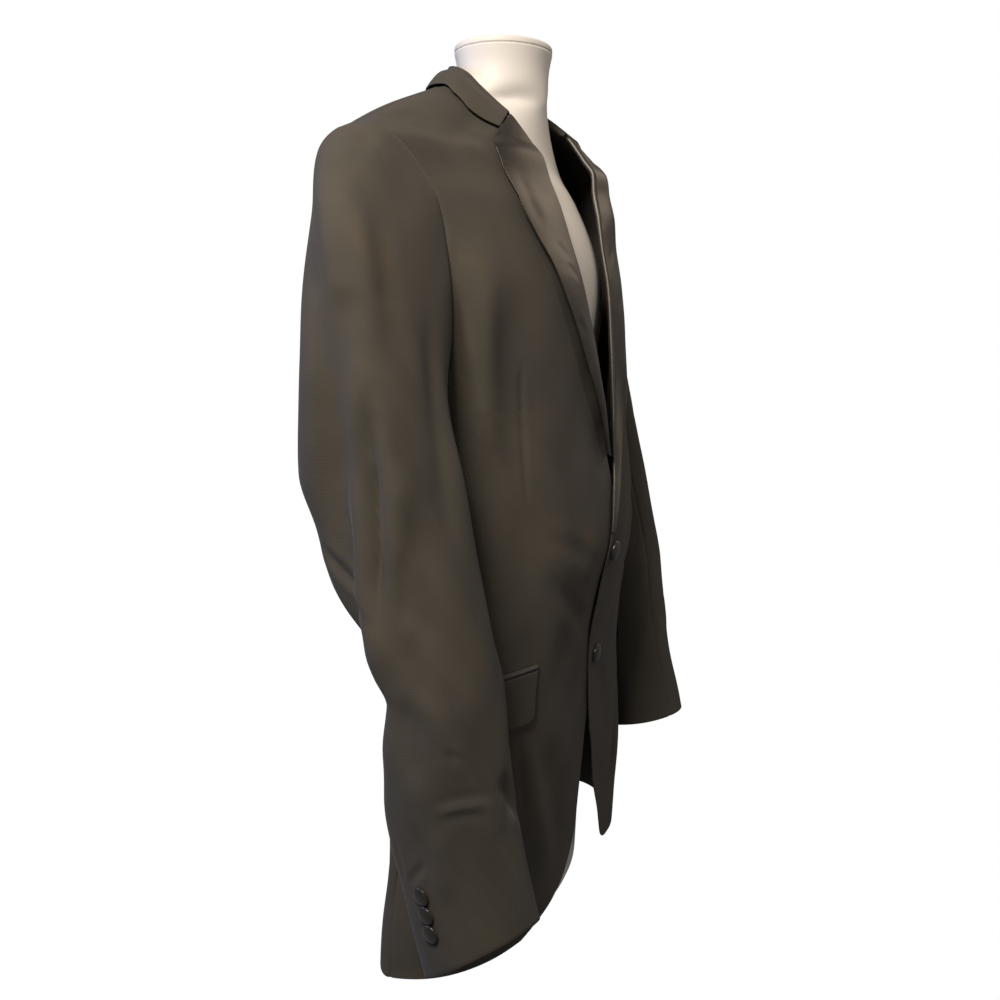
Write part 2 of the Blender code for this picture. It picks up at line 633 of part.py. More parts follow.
def make_lapel(side, collection):
    """Satin lapel: the front's own points moved out, rising to an edge that stands off."""
    rows = LAPEL if side > 0 else LAPEL[:RIGHT_LAPEL_ROWS]
    roll_z, edge_x, edge_z, lift = (column(rows, LAPEL_COLUMN_NAMES, n) for n in LAPEL_COLUMN_NAMES)
    roll_x = by_height(FRONT_EDGE, EDGE_COLUMNS, "left_x" if side > 0 else "right_x", roll_z)
    share = np.linspace(0, 1, LAPEL_COLUMNS + 1)
    x = between(roll_x[:, None], edge_x[:, None], share)
    z = between(roll_z[:, None], edge_z[:, None], share)
    angle = front_angle(x, z)
    points = body_point(angle, z)
    rise = SEAM_GAP + WALL + 0.0008 + lift[:, None] * np.sin(share * math.pi * 0.62)
    if side < 0:
        rise = rise - tuck(points)
    out = body_normal(angle, z)
    grid = points + out * rise[..., None]
    name = "lapel_left" if side > 0 else "lapel_right"
    return add_sheet(name, grid, out, SATIN, collection, side)


def make_collar(collection):
    """Collar in one piece: stand up inside the neckline, over the fold, and down as the fall."""
    at = np.linspace(0, 1, COLLAR_STATIONS + 1)
    stations = np.linspace(0, 1, len(COLLAR))
    value = {
        name: smooth_curve(stations, column(COLLAR, COLLAR_COLUMNS, name), at)
        for name in COLLAR_COLUMNS
    }
    foot = np.stack([value["stand_x"], value["stand_y"], value["stand_z"]], axis=-1)
    roll = np.stack([value["roll_x"], value["roll_y"], value["roll_z"]], axis=-1)
    normal = body_normal(value["fall_angle"], value["fall_z"])
    edge = body_point(value["fall_angle"], value["fall_z"]) + normal * (FALL_LIFT + WALL)
    outward = unit((edge - roll) * np.array([1.0, 1.0, 0.0]))
    drop = np.array([0.0, 0.0, -COLLAR_ROLL * 0.8])
    inner = roll - outward * COLLAR_ROLL + drop
    outer = roll + outward * COLLAR_ROLL + drop
    belly = normal * 0.0025
    half = np.stack(
        [
            foot,
            between(foot, inner, 0.55),
            inner,
            roll,
            outer,
            between(outer, edge, 0.35) + belly,
            between(outer, edge, 0.70) + belly * 0.7,
            edge,
        ]
    )
    mirrored = half[:, -2::-1] * np.array([-1.0, 1.0, 1.0])
    grid = np.concatenate([half, mirrored], axis=1)
    out = -grid_normals(grid)
    return add_sheet("collar", grid, out, CLOTH, collection)


def patch(angles, top_z, bottom_z, rise):
    """A small panel over the front, from its own points moved out, and its normals."""
    share = np.linspace(0, 1, 4)
    angle = np.broadcast_to(angles, (len(share), len(angles)))
    z = between(top_z, bottom_z, share[:, None])
    out = body_normal(angle, z)
    return body_point(angle, z) + out * rise, out


def make_pocket(side, collection):
    """Pocket flap, and the jet above it that it comes out of."""
    word = "left" if side > 0 else "right"
    angles = np.linspace(FLAP_FRONT_ANGLE, FLAP_BACK_ANGLE, 9)
    x = body_point(angles, np.full(len(angles), FLAP_TOP_Z))[:, 0]
    top = FLAP_TOP_Z - FLAP_SLOPE * (x - x[0])
    rise = SEAM_GAP + WALL + 0.0006
    flap = patch(angles, top, top - FLAP_DEPTH, rise)
    add_sheet(f"pocket_flap_{word}", *flap, CLOTH, collection, side)
    jet = patch(angles, top + SEAM_GAP + JET_DEPTH, top + SEAM_GAP, rise)
    add_sheet(f"pocket_jet_{word}", *jet, SATIN, collection, side)


# ---- Buttons -----------------------------------------------------------------------------------
def button_mesh(name, radius, shank):
    """Turned button: a low dome on a rounded rim, with its shank behind. It faces +Z."""
    rim = radius * 0.16
    dome = radius * 0.30
    profile = [(0.0, rim + dome)]
    for degrees in (60, 35, 12):
        turn = math.radians(degrees)
        profile.append((radius * math.cos(turn), rim + dome * math.sin(turn)))
    profile += [(radius, rim * 0.6), (radius * 0.94, 0.0), (SHANK_RADIUS, 0.0)]
    profile += [(SHANK_RADIUS, -shank), (0.0, -shank)]
    mesh = bpy.data.meshes.new(name)
    work = bmesh.new()
    points = [work.verts.new((x, 0.0, z)) for x, z in profile]
    for first, second in zip(points, points[1:]):
        work.edges.new((first, second))
    bmesh.ops.spin(
        work,
        geom=work.verts[:] + work.edges[:],
        axis=(0, 0, 1),
        cent=(0, 0, 0),
        angle=math.tau,
        steps=12,
    )
    bmesh.ops.remove_doubles(work, verts=work.verts, dist=0.00001)
    bmesh.ops.recalc_face_normals(work, faces=work.faces)
    work.to_mesh(mesh)
    work.free()
    return mesh


def land_on(sheet, point, normal):
    """Where a needle coming in against this normal first touches a sheet."""
    corners = [vertex.co for vertex in sheet.data.vertices]
    tree = BVHTree.FromPolygons(corners, [face.vertices[:] for face in sheet.data.polygons])
    return tree.ray_cast(point + normal * 0.05, -normal)[0]


def stand_on(point, normal):
    """Placement of a button or a cutter whose +Z is the cloth's normal."""
    across = normal.cross(Vector((0, 0, 1))).normalized()
    turn = Matrix((across, normal.cross(across), normal)).transposed().to_4x4()
    return Matrix.Translation(point) @ turn


def make_front_buttons(front_left, front_right, collection, cutters):
    """Two buttons through cut buttonholes of the left front, their shanks down to the right."""
    for number, z in enumerate(FRONT_BUTTON_HEIGHTS, start=1):
        angle = front_angle(FRONT_BUTTON_X, z)
        point, normal = Vector(body_point(angle, z)), Vector(body_normal(angle, z))
        point = land_on(front_left, point, normal)
        shank = (point - land_on(front_right, point, normal)).length
        name = f"front_button_{number}"
        button = add_object(name, button_mesh(name, FRONT_BUTTON_RADIUS, shank), COVERED, collection)
        button.matrix_world = stand_on(point + normal * SEAM_GAP * 1.5, normal)
        hole = bpy.data.meshes.new(f"buttonhole_{number}")
        work = bmesh.new()
        bmesh.ops.create_cube(work, size=1.0)
        size = Vector((BUTTONHOLE_LENGTH, BUTTONHOLE_WIDTH, WALL * 2.6))
        bmesh.ops.scale(work, vec=size, verts=work.verts)
        work.to_mesh(hole)
        work.free()
        cutter = bpy.data.objects.new(f"buttonhole_{number}", hole)
        cutters.objects.link(cutter)
        cutter.hide_render = True
        cutter.display_type = "WIRE"
        cutter.matrix_world = stand_on(point, normal)
        cut = front_left.modifiers.new(f"Buttonhole {number}", "BOOLEAN")
        cut.operation = "DIFFERENCE"
        cut.solver = "EXACT"
        cut.object = cutter


def make_cuff_buttons(side, sleeve, collection):
    """Three buttons in a row beside the hind-arm seam."""
    word = "left" if side > 0 else "right"
    mirror = np.array([side, 1.0, 1.0])
    angle = CUFF_BUTTON_ANGLE
    for number, z in enumerate(CUFF_BUTTON_HEIGHTS, start=1):
        across = sleeve_point(angle + 6, z) - sleeve_point(angle - 6, z)
        up_sleeve = sleeve_point(angle, z + 0.01) - sleeve_point(angle, z - 0.01)
        normal = Vector(unit(np.cross(up_sleeve, across)) * mirror)
        point = land_on(sleeve, Vector(sleeve_point(angle, z) * mirror), normal)
        name = f"cuff_button_{word}_{number}"
        mesh = button_mesh(name, CUFF_BUTTON_RADIUS, SHANK_RADIUS)
        button = add_object(name, mesh, COVERED, collection)
        button.matrix_world = stand_on(point + normal * (SHANK_RADIUS + SEAM_GAP), normal)


# ---- Torso form --------------------------------------------------------------------------------
def form_rings():
    """Rings of the form from the floor to the top of the neck."""
    angle = np.arange(FORM_SIDES) * 360.0 / FORM_SIDES - 180.0
    inner = np.where(np.abs(angle) > 90, np.sign(angle) * (180 - np.abs(angle)), angle)
    mirror = np.where(np.abs(angle) > 90, -1.0, 1.0)
    rings = []
    both = np.stack([mirror, np.ones(FORM_SIDES), np.ones(FORM_SIDES)], axis=-1)
    for z, half, side, front, back, square in FORM:
        rings.append(section_point(inner, z, half, side, front, back, square, 0.0) * both)
    for z, front in FORM_SHOULDER:
        half, side, _, back, _, _ = (
            by_height(BODY, BODY_COLUMNS, name, z + FORM_GAP) for name in BODY_COLUMNS[1:]
        )
        half, back = min(half, FORM_WIDEST), back - FORM_GAP
        square = FORM_SHOULDER_SQUARE
        rings.append(section_point(inner, z, half, side, front, back, square, 0.0) * both)
    for z, half, side, front, back, square in NECK:
        rings.append(section_point(inner, z, half, side, front, back, square, square) * both)
    return np.array(rings)


def make_form(collection):
    """The torso form, one closed solid, with a flat underside."""
    rings = form_rings()
    mesh = bpy.data.meshes.new("form_body")
    faces = grid_faces(*rings.shape[:2], closed=True)
    mesh.from_pydata(rings.reshape(-1, 3).tolist(), [], faces.tolist())
    work = bmesh.new()
    work.from_mesh(mesh)
    work.verts.ensure_lookup_table()
    bottom = [work.verts[i] for i in range(FORM_SIDES)]
    top = [work.verts[len(work.verts) - FORM_SIDES + i] for i in range(FORM_SIDES)]
    work.faces.new(bottom[::-1])
    work.faces.new(top)
    bmesh.ops.recalc_face_normals(work, faces=work.faces)
    work.to_mesh(mesh)
    work.free()
    add_object("form_body", mesh, FORM_WHITE, collection)


def make_neck_cap(collection):
    """The plate that closes the neck, with a rounded upper edge."""
    half_width, half_depth = NECK[-1][1], NECK[-1][4]
    mesh = bpy.data.meshes.new("form_neck_cap")
    work = bmesh.new()
    bmesh.ops.create_cone(
        work, cap_ends=True, segments=FORM_SIDES, radius1=1.0, radius2=1.0, depth=CAP_HEIGHT
    )
    bmesh.ops.scale(work, vec=(half_width, half_depth, 1.0), verts=work.verts)
    work.to_mesh(mesh)
    work.free()
    cap = add_object("form_neck_cap", mesh, FORM_WHITE, collection)
    cap.location = (0.0, 0.0, NECK_TOP_Z + SEAM_GAP + CAP_HEIGHT / 2)
    edge = cap.modifiers.new("Edge", "BEVEL")
    edge.width = CAP_HEIGHT * 0.3
    edge.segments = 2
    edge.limit_method = "ANGLE"


def build():
    """Clears the scene and makes every piece."""
    for thing in list(bpy.data.objects):
        bpy.data.objects.remove(thing, do_unlink=True)
    jacket = bpy.data.collections.new("Tuxedo jacket on torso form")
    cutters = bpy.data.collections.new("Cutters")
    for collection in (jacket, cutters):
        bpy.context.scene.collection.children.link(collection)
    cutters.hide_render = True
    make_form(jacket)
    make_neck_cap(jacket)
    front_left = make_front(1, jacket)
    front_right = make_front(-1, jacket)
    for side in (1, -1):
        make_back(side, jacket)
        sleeve = make_sleeve(side, jacket)
        make_lapel(side, jacket)
        make_pocket(side, jacket)
        make_cuff_buttons(side, sleeve, jacket)
    make_collar(jacket)
    make_front_buttons(front_left, front_right, jacket, cutters)


build()
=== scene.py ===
"""Looks of a single-breasted tuxedo jacket, fastened, on a plain torso form.

Metres, +Z up, the front faces -Y and the wearer's left is +X, as in the solids. Each cloth piece
is worked out on a fine grid from the same tables as its solid, then creased by listed troughs
and ridges, and closed to a thin shell with a rounded edge. The left half is worked out
and the right half is its mirror image, with its own front edge, creases and cuff.
"""

import logging
import math
from dataclasses import dataclass, field
from enum import Enum
from typing import ClassVar

import bpy
import numpy as np
from mathutils import Matrix, Vector
from mathutils.bvhtree import BVHTree


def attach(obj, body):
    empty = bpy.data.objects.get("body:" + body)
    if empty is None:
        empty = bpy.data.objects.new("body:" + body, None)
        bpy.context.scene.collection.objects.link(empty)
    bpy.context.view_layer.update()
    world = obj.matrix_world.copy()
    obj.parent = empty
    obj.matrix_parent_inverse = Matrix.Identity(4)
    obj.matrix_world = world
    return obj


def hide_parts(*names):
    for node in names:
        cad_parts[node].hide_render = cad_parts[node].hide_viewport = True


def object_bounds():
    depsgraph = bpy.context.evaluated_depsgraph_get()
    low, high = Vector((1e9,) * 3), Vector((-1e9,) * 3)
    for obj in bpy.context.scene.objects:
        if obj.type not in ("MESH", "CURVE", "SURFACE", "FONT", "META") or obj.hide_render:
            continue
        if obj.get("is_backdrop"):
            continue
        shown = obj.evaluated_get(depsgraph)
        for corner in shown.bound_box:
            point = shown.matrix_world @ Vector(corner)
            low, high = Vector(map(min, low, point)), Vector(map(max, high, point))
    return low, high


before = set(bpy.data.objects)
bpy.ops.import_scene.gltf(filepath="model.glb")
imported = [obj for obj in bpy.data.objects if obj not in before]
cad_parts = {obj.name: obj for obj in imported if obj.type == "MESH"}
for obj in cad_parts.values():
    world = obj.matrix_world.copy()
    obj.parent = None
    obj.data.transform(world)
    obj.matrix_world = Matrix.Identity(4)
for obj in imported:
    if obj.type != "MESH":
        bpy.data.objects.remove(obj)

LOG = logging.getLogger("tuxedo jacket")
Array = np.ndarray


class Side(Enum):
    """The wearer's side, as the factor that mirrors x."""

    LEFT = 1
    RIGHT = -1

    @property
    def word(self) -> str:
        """left or right, as node names have it."""
        return self.name.lower()


class Held(Enum):
    """How a sheet of cloth is held."""

    DRAPED = "draped"
    HUNG = "hung"
    FOLDED = "folded"


# ---- Curves and grids --------------------------------------------------------------------------
def smooth_curve(xs: Array, ys: Array, at: Array) -> Array:
    """Piecewise cubic through points, with harmonic mean slopes, so that it never overshoots.

    Args:
        xs: Places of the points, rising.
        ys: Values there.
        at: Places to read, held within the ends.

    Returns:
        The values at those places.
    """
    xs, ys = np.asarray(xs, float), np.asarray(ys, float)
    step = np.diff(xs)
    slope = np.diff(ys) / step
    tangent = np.zeros(len(xs))
    same = slope[:-1] * slope[1:] > 0
    first, second = 2 * step[1:] + step[:-1], step[1:] + 2 * step[:-1]
    safe = np.where(same, slope[:-1], 1.0), np.where(same, slope[1:], 1.0)
    tangent[1:-1] = np.where(same, (first + second) / (first / safe[0] + second / safe[1]), 0.0)
    tangent[0], tangent[-1] = slope[0], slope[-1]
    at = np.clip(np.asarray(at, float), xs[0], xs[-1])
    low = np.clip(np.searchsorted(xs, at, side="right") - 1, 0, len(step) - 1)
    t = (at - xs[low]) / step[low]
    return (
        ys[low] * (1 + 2 * t) * (1 - t) ** 2
        + tangent[low] * step[low] * t * (1 - t) ** 2
        + ys[low + 1] * t * t * (3 - 2 * t)
        - tangent[low + 1] * step[low] * t * t * (1 - t)
    )


@dataclass(frozen=True)
class Table:
    """Rows of sizes with named columns; the first column is where each row stands."""

    names: tuple[str, ...]
    rows: tuple[tuple[float, ...], ...]

    def column(self, name: str) -> Array:
        """One named column."""
        return np.array([row[self.names.index(name)] for row in self.rows], float)

    def at(self, name: str, place: Array) -> Array:
        """A named column read smoothly at any place along the first column."""
        xs = self.column(self.names[0])
        order = np.argsort(xs)
        return smooth_curve(xs[order], self.column(name)[order], place)

    def all_at(self, place: Array) -> list[Array]:
        """Every column but the first, read at these places."""
        return [self.at(name, place) for name in self.names[1:]]


def fade(value: Array) -> Array:
    """0 below 0, 1 above 1, and 3t^2 - 2t^3 between."""
    t = np.clip(value, 0.0, 1.0)
    return t * t * (3 - 2 * t)


def unit(vectors: Array) -> Array:
    """The same vectors at length 1."""
    return vectors / np.maximum(np.linalg.norm(vectors, axis=-1, keepdims=True), 1e-12)


def between(first: Array, last: Array, share: Array) -> Array:
    """The point that lies this share of the way from first to last."""
    return first + (last - first) * share


def shares(count: int, edge: float = 0.004, keep: float | None = None) -> Array:
    """Evenly spread shares from 0 to 1, with three more close to each end for the sewn edge.

    Args:
        count: Number of even steps.
        edge: Size of the outermost step as a share.
        keep: A share that must be among them, such as a corner.

    Returns:
        The shares, rising.
    """
    near = edge * np.array([1.0, 2.2, 4.0])
    found = np.concatenate([np.linspace(0, 1, count + 1), near, 1 - near])
    found = np.unique(np.round(found, 7))
    found = found[np.concatenate([[True], np.diff(found) > edge * 0.6])]
    found[-1] = 1.0
    if keep is not None:
        found[np.argmin(np.abs(found - keep))] = keep
    return found


def grid_normals(grid: Array) -> Array:
    """Unit normals of a grid, from the differences along its columns and rows."""
    return unit(np.cross(np.gradient(grid, axis=1), np.gradient(grid, axis=0)))


def arc(grid: Array, axis: int) -> Array:
    """Length along a grid from its start, at every point."""
    step = np.linalg.norm(np.diff(grid, axis=axis), axis=-1)
    pad = [(0, 0), (0, 0)]
    pad[axis] = (1, 0)
    return np.pad(np.cumsum(step, axis=axis), pad)


def spline(points: Array, count: int) -> Array:
    """Cubic through a row of points (first axis), with slopes between neighbours, evenly read.

    Args:
        points: Control points x stations x 3.
        count: Number of points wanted along the row.

    Returns:
        count x stations x 3.
    """
    last = len(points) - 1
    at = np.linspace(0, last, count)
    low = np.clip(np.floor(at).astype(int), 0, last - 1)
    t = (at - low)[:, None, None]
    slope = np.gradient(points, axis=0)
    return (
        points[low] * (1 + 2 * t) * (1 - t) ** 2
        + slope[low] * t * (1 - t) ** 2
        + points[low + 1] * t * t * (3 - 2 * t)
        - slope[low + 1] * t * t * (1 - t)
    )


# ---- Creases -----------------------------------------------------------------------------------
@dataclass(frozen=True)
class Crease:
    """A soft trough, or a ridge where depth is negative, along a bowed line on the cloth.

    start, bend and end are places near the cloth in mm, on the left half, and width and depth
    are in mm. Across the line the cloth moves by depth * exp(-(d / width)^2), with a lower lip
    raised on both sides, and along it the depth fades in and out over taper of its length.
    """

    start: tuple[float, float, float]
    bend: tuple[float, float, float]
    end: tuple[float, float, float]
    width: float
    depth: float
    lip: float = 0.35
    taper: float = 0.35

    def path(self, count: int = 30) -> Array:
        """Points along the line, a parabola through its three places."""
        t = np.linspace(0, 1, count)[:, None]
        a, b, c = (np.array(p, float) / 1000 for p in (self.start, self.bend, self.end))
        return a * (2 * t - 1) * (t - 1) + b * 4 * t * (1 - t) + c * t * (2 * t - 1)


def crease_relief(creases: tuple[Crease, ...], grid: Array, out: Array) -> Array:
    """How far creases move each point of a grid outward.

    Each line is first dropped onto the cloth, along the normal of the nearest point, and each
    point then looks up the nearest place of the line.

    Args:
        creases: The creases.
        grid: rows x columns x 3 points.
        out: Normals there.

    Returns:
        rows x columns lengths; a trough is negative.
    """
    moved = np.zeros(grid.shape[:2])
    flat, normals = grid.reshape(-1, 3), out.reshape(-1, 3)
    for crease in creases:
        line, width = crease.path(), crease.width / 1000
        reach = 4 * width + 0.012
        box = (flat > line.min(axis=0) - reach) & (flat < line.max(axis=0) + reach)
        close = np.flatnonzero(box.all(axis=1))
        if not len(close):
            continue
        near = close[((line[:, None] - flat[close][None]) ** 2).sum(-1).argmin(axis=1)]
        off = ((line - flat[near]) * normals[near]).sum(-1, keepdims=True)
        far = np.linalg.norm(line - flat[near] - off * normals[near], axis=-1)
        line = line - off * normals[near]
        here = (far < 0.010) & (np.abs(off[:, 0]) < 0.02)
        start, step = line[:-1], np.diff(line, axis=0)
        away = flat[close][:, None] - start[None]
        share = np.clip((away * step).sum(-1) / np.maximum((step * step).sum(-1), 1e-12), 0, 1)
        apart = np.linalg.norm(away - share[..., None] * step, axis=-1)
        apart = np.where((here[:-1] & here[1:])[None], apart, 1.0)
        best = apart.argmin(axis=1)
        rows = np.arange(len(close))
        d = apart[rows, best] / width
        t = (best + share[rows, best]) / len(step)
        along = fade(t / crease.taper) * fade((1 - t) / crease.taper)
        across = np.exp(-(d**2)) - crease.lip * np.exp(-(((d - 2.0) / 1.1) ** 2))
        moved.reshape(-1)[close] -= crease.depth / 1000 * along * across
    return moved


def undulation(grid: Array, height: float, seed: float) -> Array:
    """Soft low waves of hanging cloth: a sum of five slanting sines with unrelated lengths.

    Args:
        grid: rows x columns x 3 points.
        height: About how far they move the cloth.
        seed: Shifts the waves, so that no two pieces are alike.

    Returns:
        rows x columns lengths.
    """
    waves = ((37, 61, 19, 0.3), (-71, 23, 44, 1.7), (53, -47, 31, 2.9), (21, 88, -63, 4.1),
             (97, 12, 71, 5.3))
    total = np.zeros(grid.shape[:2])
    for x, y, z, shift in waves:
        total = total + np.sin(grid @ np.array([x, y, z], float) + shift + seed * (1 + shift))
    return total * height / 2.2


# ---- Finishes ----------------------------------------------------------------------------------
def linear(colour: str) -> tuple[float, float, float, float]:
    """A colour written as sRGB hex, in linear light: ((c + 0.055) / 1.055)^2.4 above 0.04045."""
    parts = [int(colour[i : i + 2], 16) / 255 for i in (1, 3, 5)]
    light = [c / 12.92 if c <= 0.04045 else ((c + 0.055) / 1.055) ** 2.4 for c in parts]
    return (*light, 1.0)


def add(material: bpy.types.Material, kind: str, **inputs) -> bpy.types.Node:
    """Adds one shader node and joins or sets its inputs.

    Args:
        material: Where it goes.
        kind: Node type without its ShaderNode prefix.
        inputs: Socket names with _ for a space, or numbers as s0, s1; a node's property goes in
            by its own name. A value is a socket to join, or a number or colour to set.

    Returns:
        The new node.
    """
    node = material.node_tree.nodes.new("ShaderNode" + kind)
    for name, value in inputs.items():
        if hasattr(node, name) and not name.startswith("s"):
            setattr(node, name, value)
            continue
        key = int(name[1:]) if name[1:].isdigit() and name[0] == "s" else name.replace("_", " ")
        socket = node.inputs[key]
        if isinstance(value, bpy.types.NodeSocket):
            material.node_tree.links.new(value, socket)
        else:
            socket.default_value = value
    return node


def ramp(material: bpy.types.Material, factor, *stops: tuple[float, str]) -> bpy.types.NodeSocket:
    """Colours along a factor.

    Args:
        material: Where it goes.
        factor: Socket that it reads.
        stops: (place, sRGB hex), two or more.

    Returns:
        The colour socket.
    """
    node = add(material, "ValToRGB", Fac=factor)
    ends = node.color_ramp.elements
    for index, (place, colour) in enumerate(stops):
        stop = ends[index] if index < 2 else ends.new(place)
        stop.position, stop.color = place, linear(colour)
    return node.outputs["Color"]


def blank(name: str, **constants) -> tuple[bpy.types.Material, bpy.types.Node]:
    """A material with its Principled shader, constants set on the shader's own sockets."""
    material = bpy.data.materials.new(name)
    material.use_nodes = True
    shader = material.node_tree.nodes["Principled BSDF"]
    for socket, value in constants.items():
        shader.inputs[socket.replace("_", " ")].default_value = value
    return material, shader


@dataclass(frozen=True)
class WoolFinish:
    """Worsted wool suiting: near-black, dry, with a fine diagonal twill and a faint nap."""

    dark: str = "#44413C"
    light: str = "#4B4740"
    warm: str = "#52493D"
    roughness: float = 0.82
    twill: float = 0.0016  # real lines are 0.4 mm apart; 4 times coarser, so that they show
    twill_depth: float = 0.00006

    def material(self) -> bpy.types.Material:
        """Twill lines across the cloth's own map, over cloudy tints from slow noise."""
        made, shader = blank(
            "Wool suiting twill", Roughness=self.roughness, Specular_IOR_Level=0.22,
            Sheen_Weight=0.12, Sheen_Roughness=0.4, Sheen_Tint=linear("#AEB4C4"),
        )
        where = add(made, "UVMap", uv_map="Cloth").outputs["UV"]
        cloud = add(made, "TexNoise", Vector=where, Scale=14.0, Detail=3.0, Roughness=0.55)
        tint = ramp(made, cloud.outputs["Fac"], (0.30, self.dark), (0.55, self.light),
                    (0.80, self.warm))
        fleck = add(made, "TexNoise", Vector=where, Scale=900.0, Detail=2.0)
        speck = add(made, "MapRange", Value=fleck.outputs["Fac"], To_Min=0.86, To_Max=1.14)
        mixed = add(made, "Mix", data_type="RGBA", blend_type="MULTIPLY", s0=1.0, s6=tint,
                    s7=speck.outputs["Result"])
        made.node_tree.links.new(mixed.outputs[2], shader.inputs["Base Color"])
        turned = add(made, "Mapping", Vector=where, Rotation=(0.0, 0.0, math.radians(63)))
        lines = add(made, "TexWave", Vector=turned.outputs["Vector"], wave_type="BANDS",
                    bands_direction="X", Scale=math.tau / self.twill / 20, Distortion=1.2,
                    Detail=2.0, Detail_Scale=3.0)
        nap = add(made, "Math", operation="MULTIPLY_ADD", s0=fleck.outputs["Fac"], s1=0.7,
                  s2=lines.outputs["Fac"])
        relief = add(made, "Bump", Height=nap.outputs["Value"], Distance=self.twill_depth,
                     Strength=0.9)
        made.node_tree.links.new(relief.outputs["Normal"], shader.inputs["Normal"])
        return made


@dataclass(frozen=True)
class SatinFinish:
    """Satin-weave facing: smooth, soft-shining, warm black, slightly puckered over its canvas."""

    dark: str = "#221E1B"
    light: str = "#2F2A24"
    roughness: float = 0.43
    pucker_depth: float = 0.0003

    def material(self) -> bpy.types.Material:
        """Long soft floats along the piece, puckers from slow noise, mottled warm tints."""
        made, shader = blank(
            "Satin facing", Roughness=self.roughness, Specular_IOR_Level=0.75,
            Sheen_Weight=0.15, Sheen_Roughness=0.3, Sheen_Tint=linear("#C9BEB0"),
            Anisotropic=0.35,
        )
        where = add(made, "UVMap", uv_map="Cloth").outputs["UV"]
        cloud = add(made, "TexNoise", Vector=where, Scale=26.0, Detail=4.0, Roughness=0.6)
        tint = ramp(made, cloud.outputs["Fac"], (0.38, self.dark), (0.62, self.light))
        made.node_tree.links.new(tint, shader.inputs["Base Color"])
        slow = add(made, "TexNoise", Vector=where, Scale=55.0, Detail=2.0)
        stretched = add(made, "Mapping", Vector=where, Scale=(2600.0, 300.0, 1.0))
        floats = add(made, "TexNoise", Vector=stretched.outputs["Vector"], Scale=1.0)
        sum_of = add(made, "Math", operation="MULTIPLY_ADD", s0=floats.outputs["Fac"], s1=0.03,
                     s2=slow.outputs["Fac"])
        relief = add(made, "Bump", Height=sum_of.outputs["Value"], Distance=self.pucker_depth,
                     Strength=0.8)
        made.node_tree.links.new(relief.outputs["Normal"], shader.inputs["Normal"])
        return made


@dataclass(frozen=True)
class CoveredButtonFinish:
    """Satin drawn tight over a button blank."""

    colour: str = "#26231F"
    roughness: float = 0.3

    def material(self) -> bpy.types.Material:
        """One warm black with the fine grain of the weave, from noise in the button's space."""
        made, shader = blank(
            "Satin-covered button", Base_Color=linear(self.colour), Roughness=self.roughness,
            Specular_IOR_Level=0.6, Sheen_Weight=0.1,
        )
        where = add(made, "TexCoord").outputs["Object"]
        grain = add(made, "TexNoise", Vector=where, Scale=1600.0, Detail=1.0)
        relief = add(made, "Bump", Height=grain.outputs["Fac"], Distance=0.00008, Strength=0.6)
        made.node_tree.links.new(relief.outputs["Normal"], shader.inputs["Normal"])
        return made


@dataclass(frozen=True)
class FormFinish:
    """Moulded white plastic with a dry, very slightly uneven skin."""

    colour: str = "#E4E1DC"
    roughness: float = 0.5

    def material(self) -> bpy.types.Material:
        """Even white with the low grain of a moulding, from noise in object space."""
        made, shader = blank(
            "Moulded matt plastic", Base_Color=linear(self.colour), Roughness=self.roughness,
            Specular_IOR_Level=0.35,
        )
        where = add(made, "TexCoord").outputs["Object"]
        grain = add(made, "TexNoise", Vector=where, Scale=240.0, Detail=2.0)
        relief = add(made, "Bump", Height=grain.outputs["Fac"], Distance=0.0001, Strength=0.25)
        made.node_tree.links.new(relief.outputs["Normal"], shader.inputs["Normal"])
        return made


@dataclass(frozen=True)
class Finishes:
    """The materials of the whole piece, each made once."""

    wool: bpy.types.Material
    satin: bpy.types.Material
    button: bpy.types.Material
    form: bpy.types.Material


# ---- Meshes ------------------------------------------------------------------------------------
def grid_faces(rows: int, columns: int, closed: bool = False) -> Array:
    """Quads between the rows and columns of a grid.

    Args:
        rows: Number of rows.
        columns: Number of columns.
        closed: Whether the last column joins the first.

    Returns:
        Faces as four point numbers each.
    """
    index = np.arange(rows * columns).reshape(rows, columns)
    if closed:
        index = np.concatenate([index, index[:, :1]], axis=1)
    corners = [index[:-1, :-1], index[:-1, 1:], index[1:, 1:], index[1:, :-1]]
    return np.stack(corners, axis=-1).reshape(-1, 4)


def capped_rings(rings: int, sides: int, upward: bool) -> list:
    """Faces of a stack of closed rings with a pole at both ends.

    Args:
        rings: Number of rings.
        sides: Points of a ring.
        upward: Whether the rings rise; otherwise they start at the top.

    Returns:
        Quads, then both fans; the poles are the two points after the rings'.
    """
    first = np.arange(sides)
    last, pole = first + (rings - 1) * sides, np.full(sides, rings * sides)
    after_first, after_last = np.roll(first, -1), np.roll(last, -1)
    skin = grid_faces(rings, sides, closed=True)
    if upward:
        fans = [(after_first, first, pole), (last, after_last, pole + 1)]
    else:
        skin, fans = skin[:, ::-1], [(first, after_first, pole), (after_last, last, pole + 1)]
    return skin.tolist() + [face for fan in fans for face in np.stack(fan, axis=-1).tolist()]


def around(values: Array) -> Array:
    """The border of a grid of values, once round, the same way round as its faces."""
    return np.concatenate([values[0, :-1], values[:-1, -1], values[-1, :0:-1], values[:0:-1, 0]])


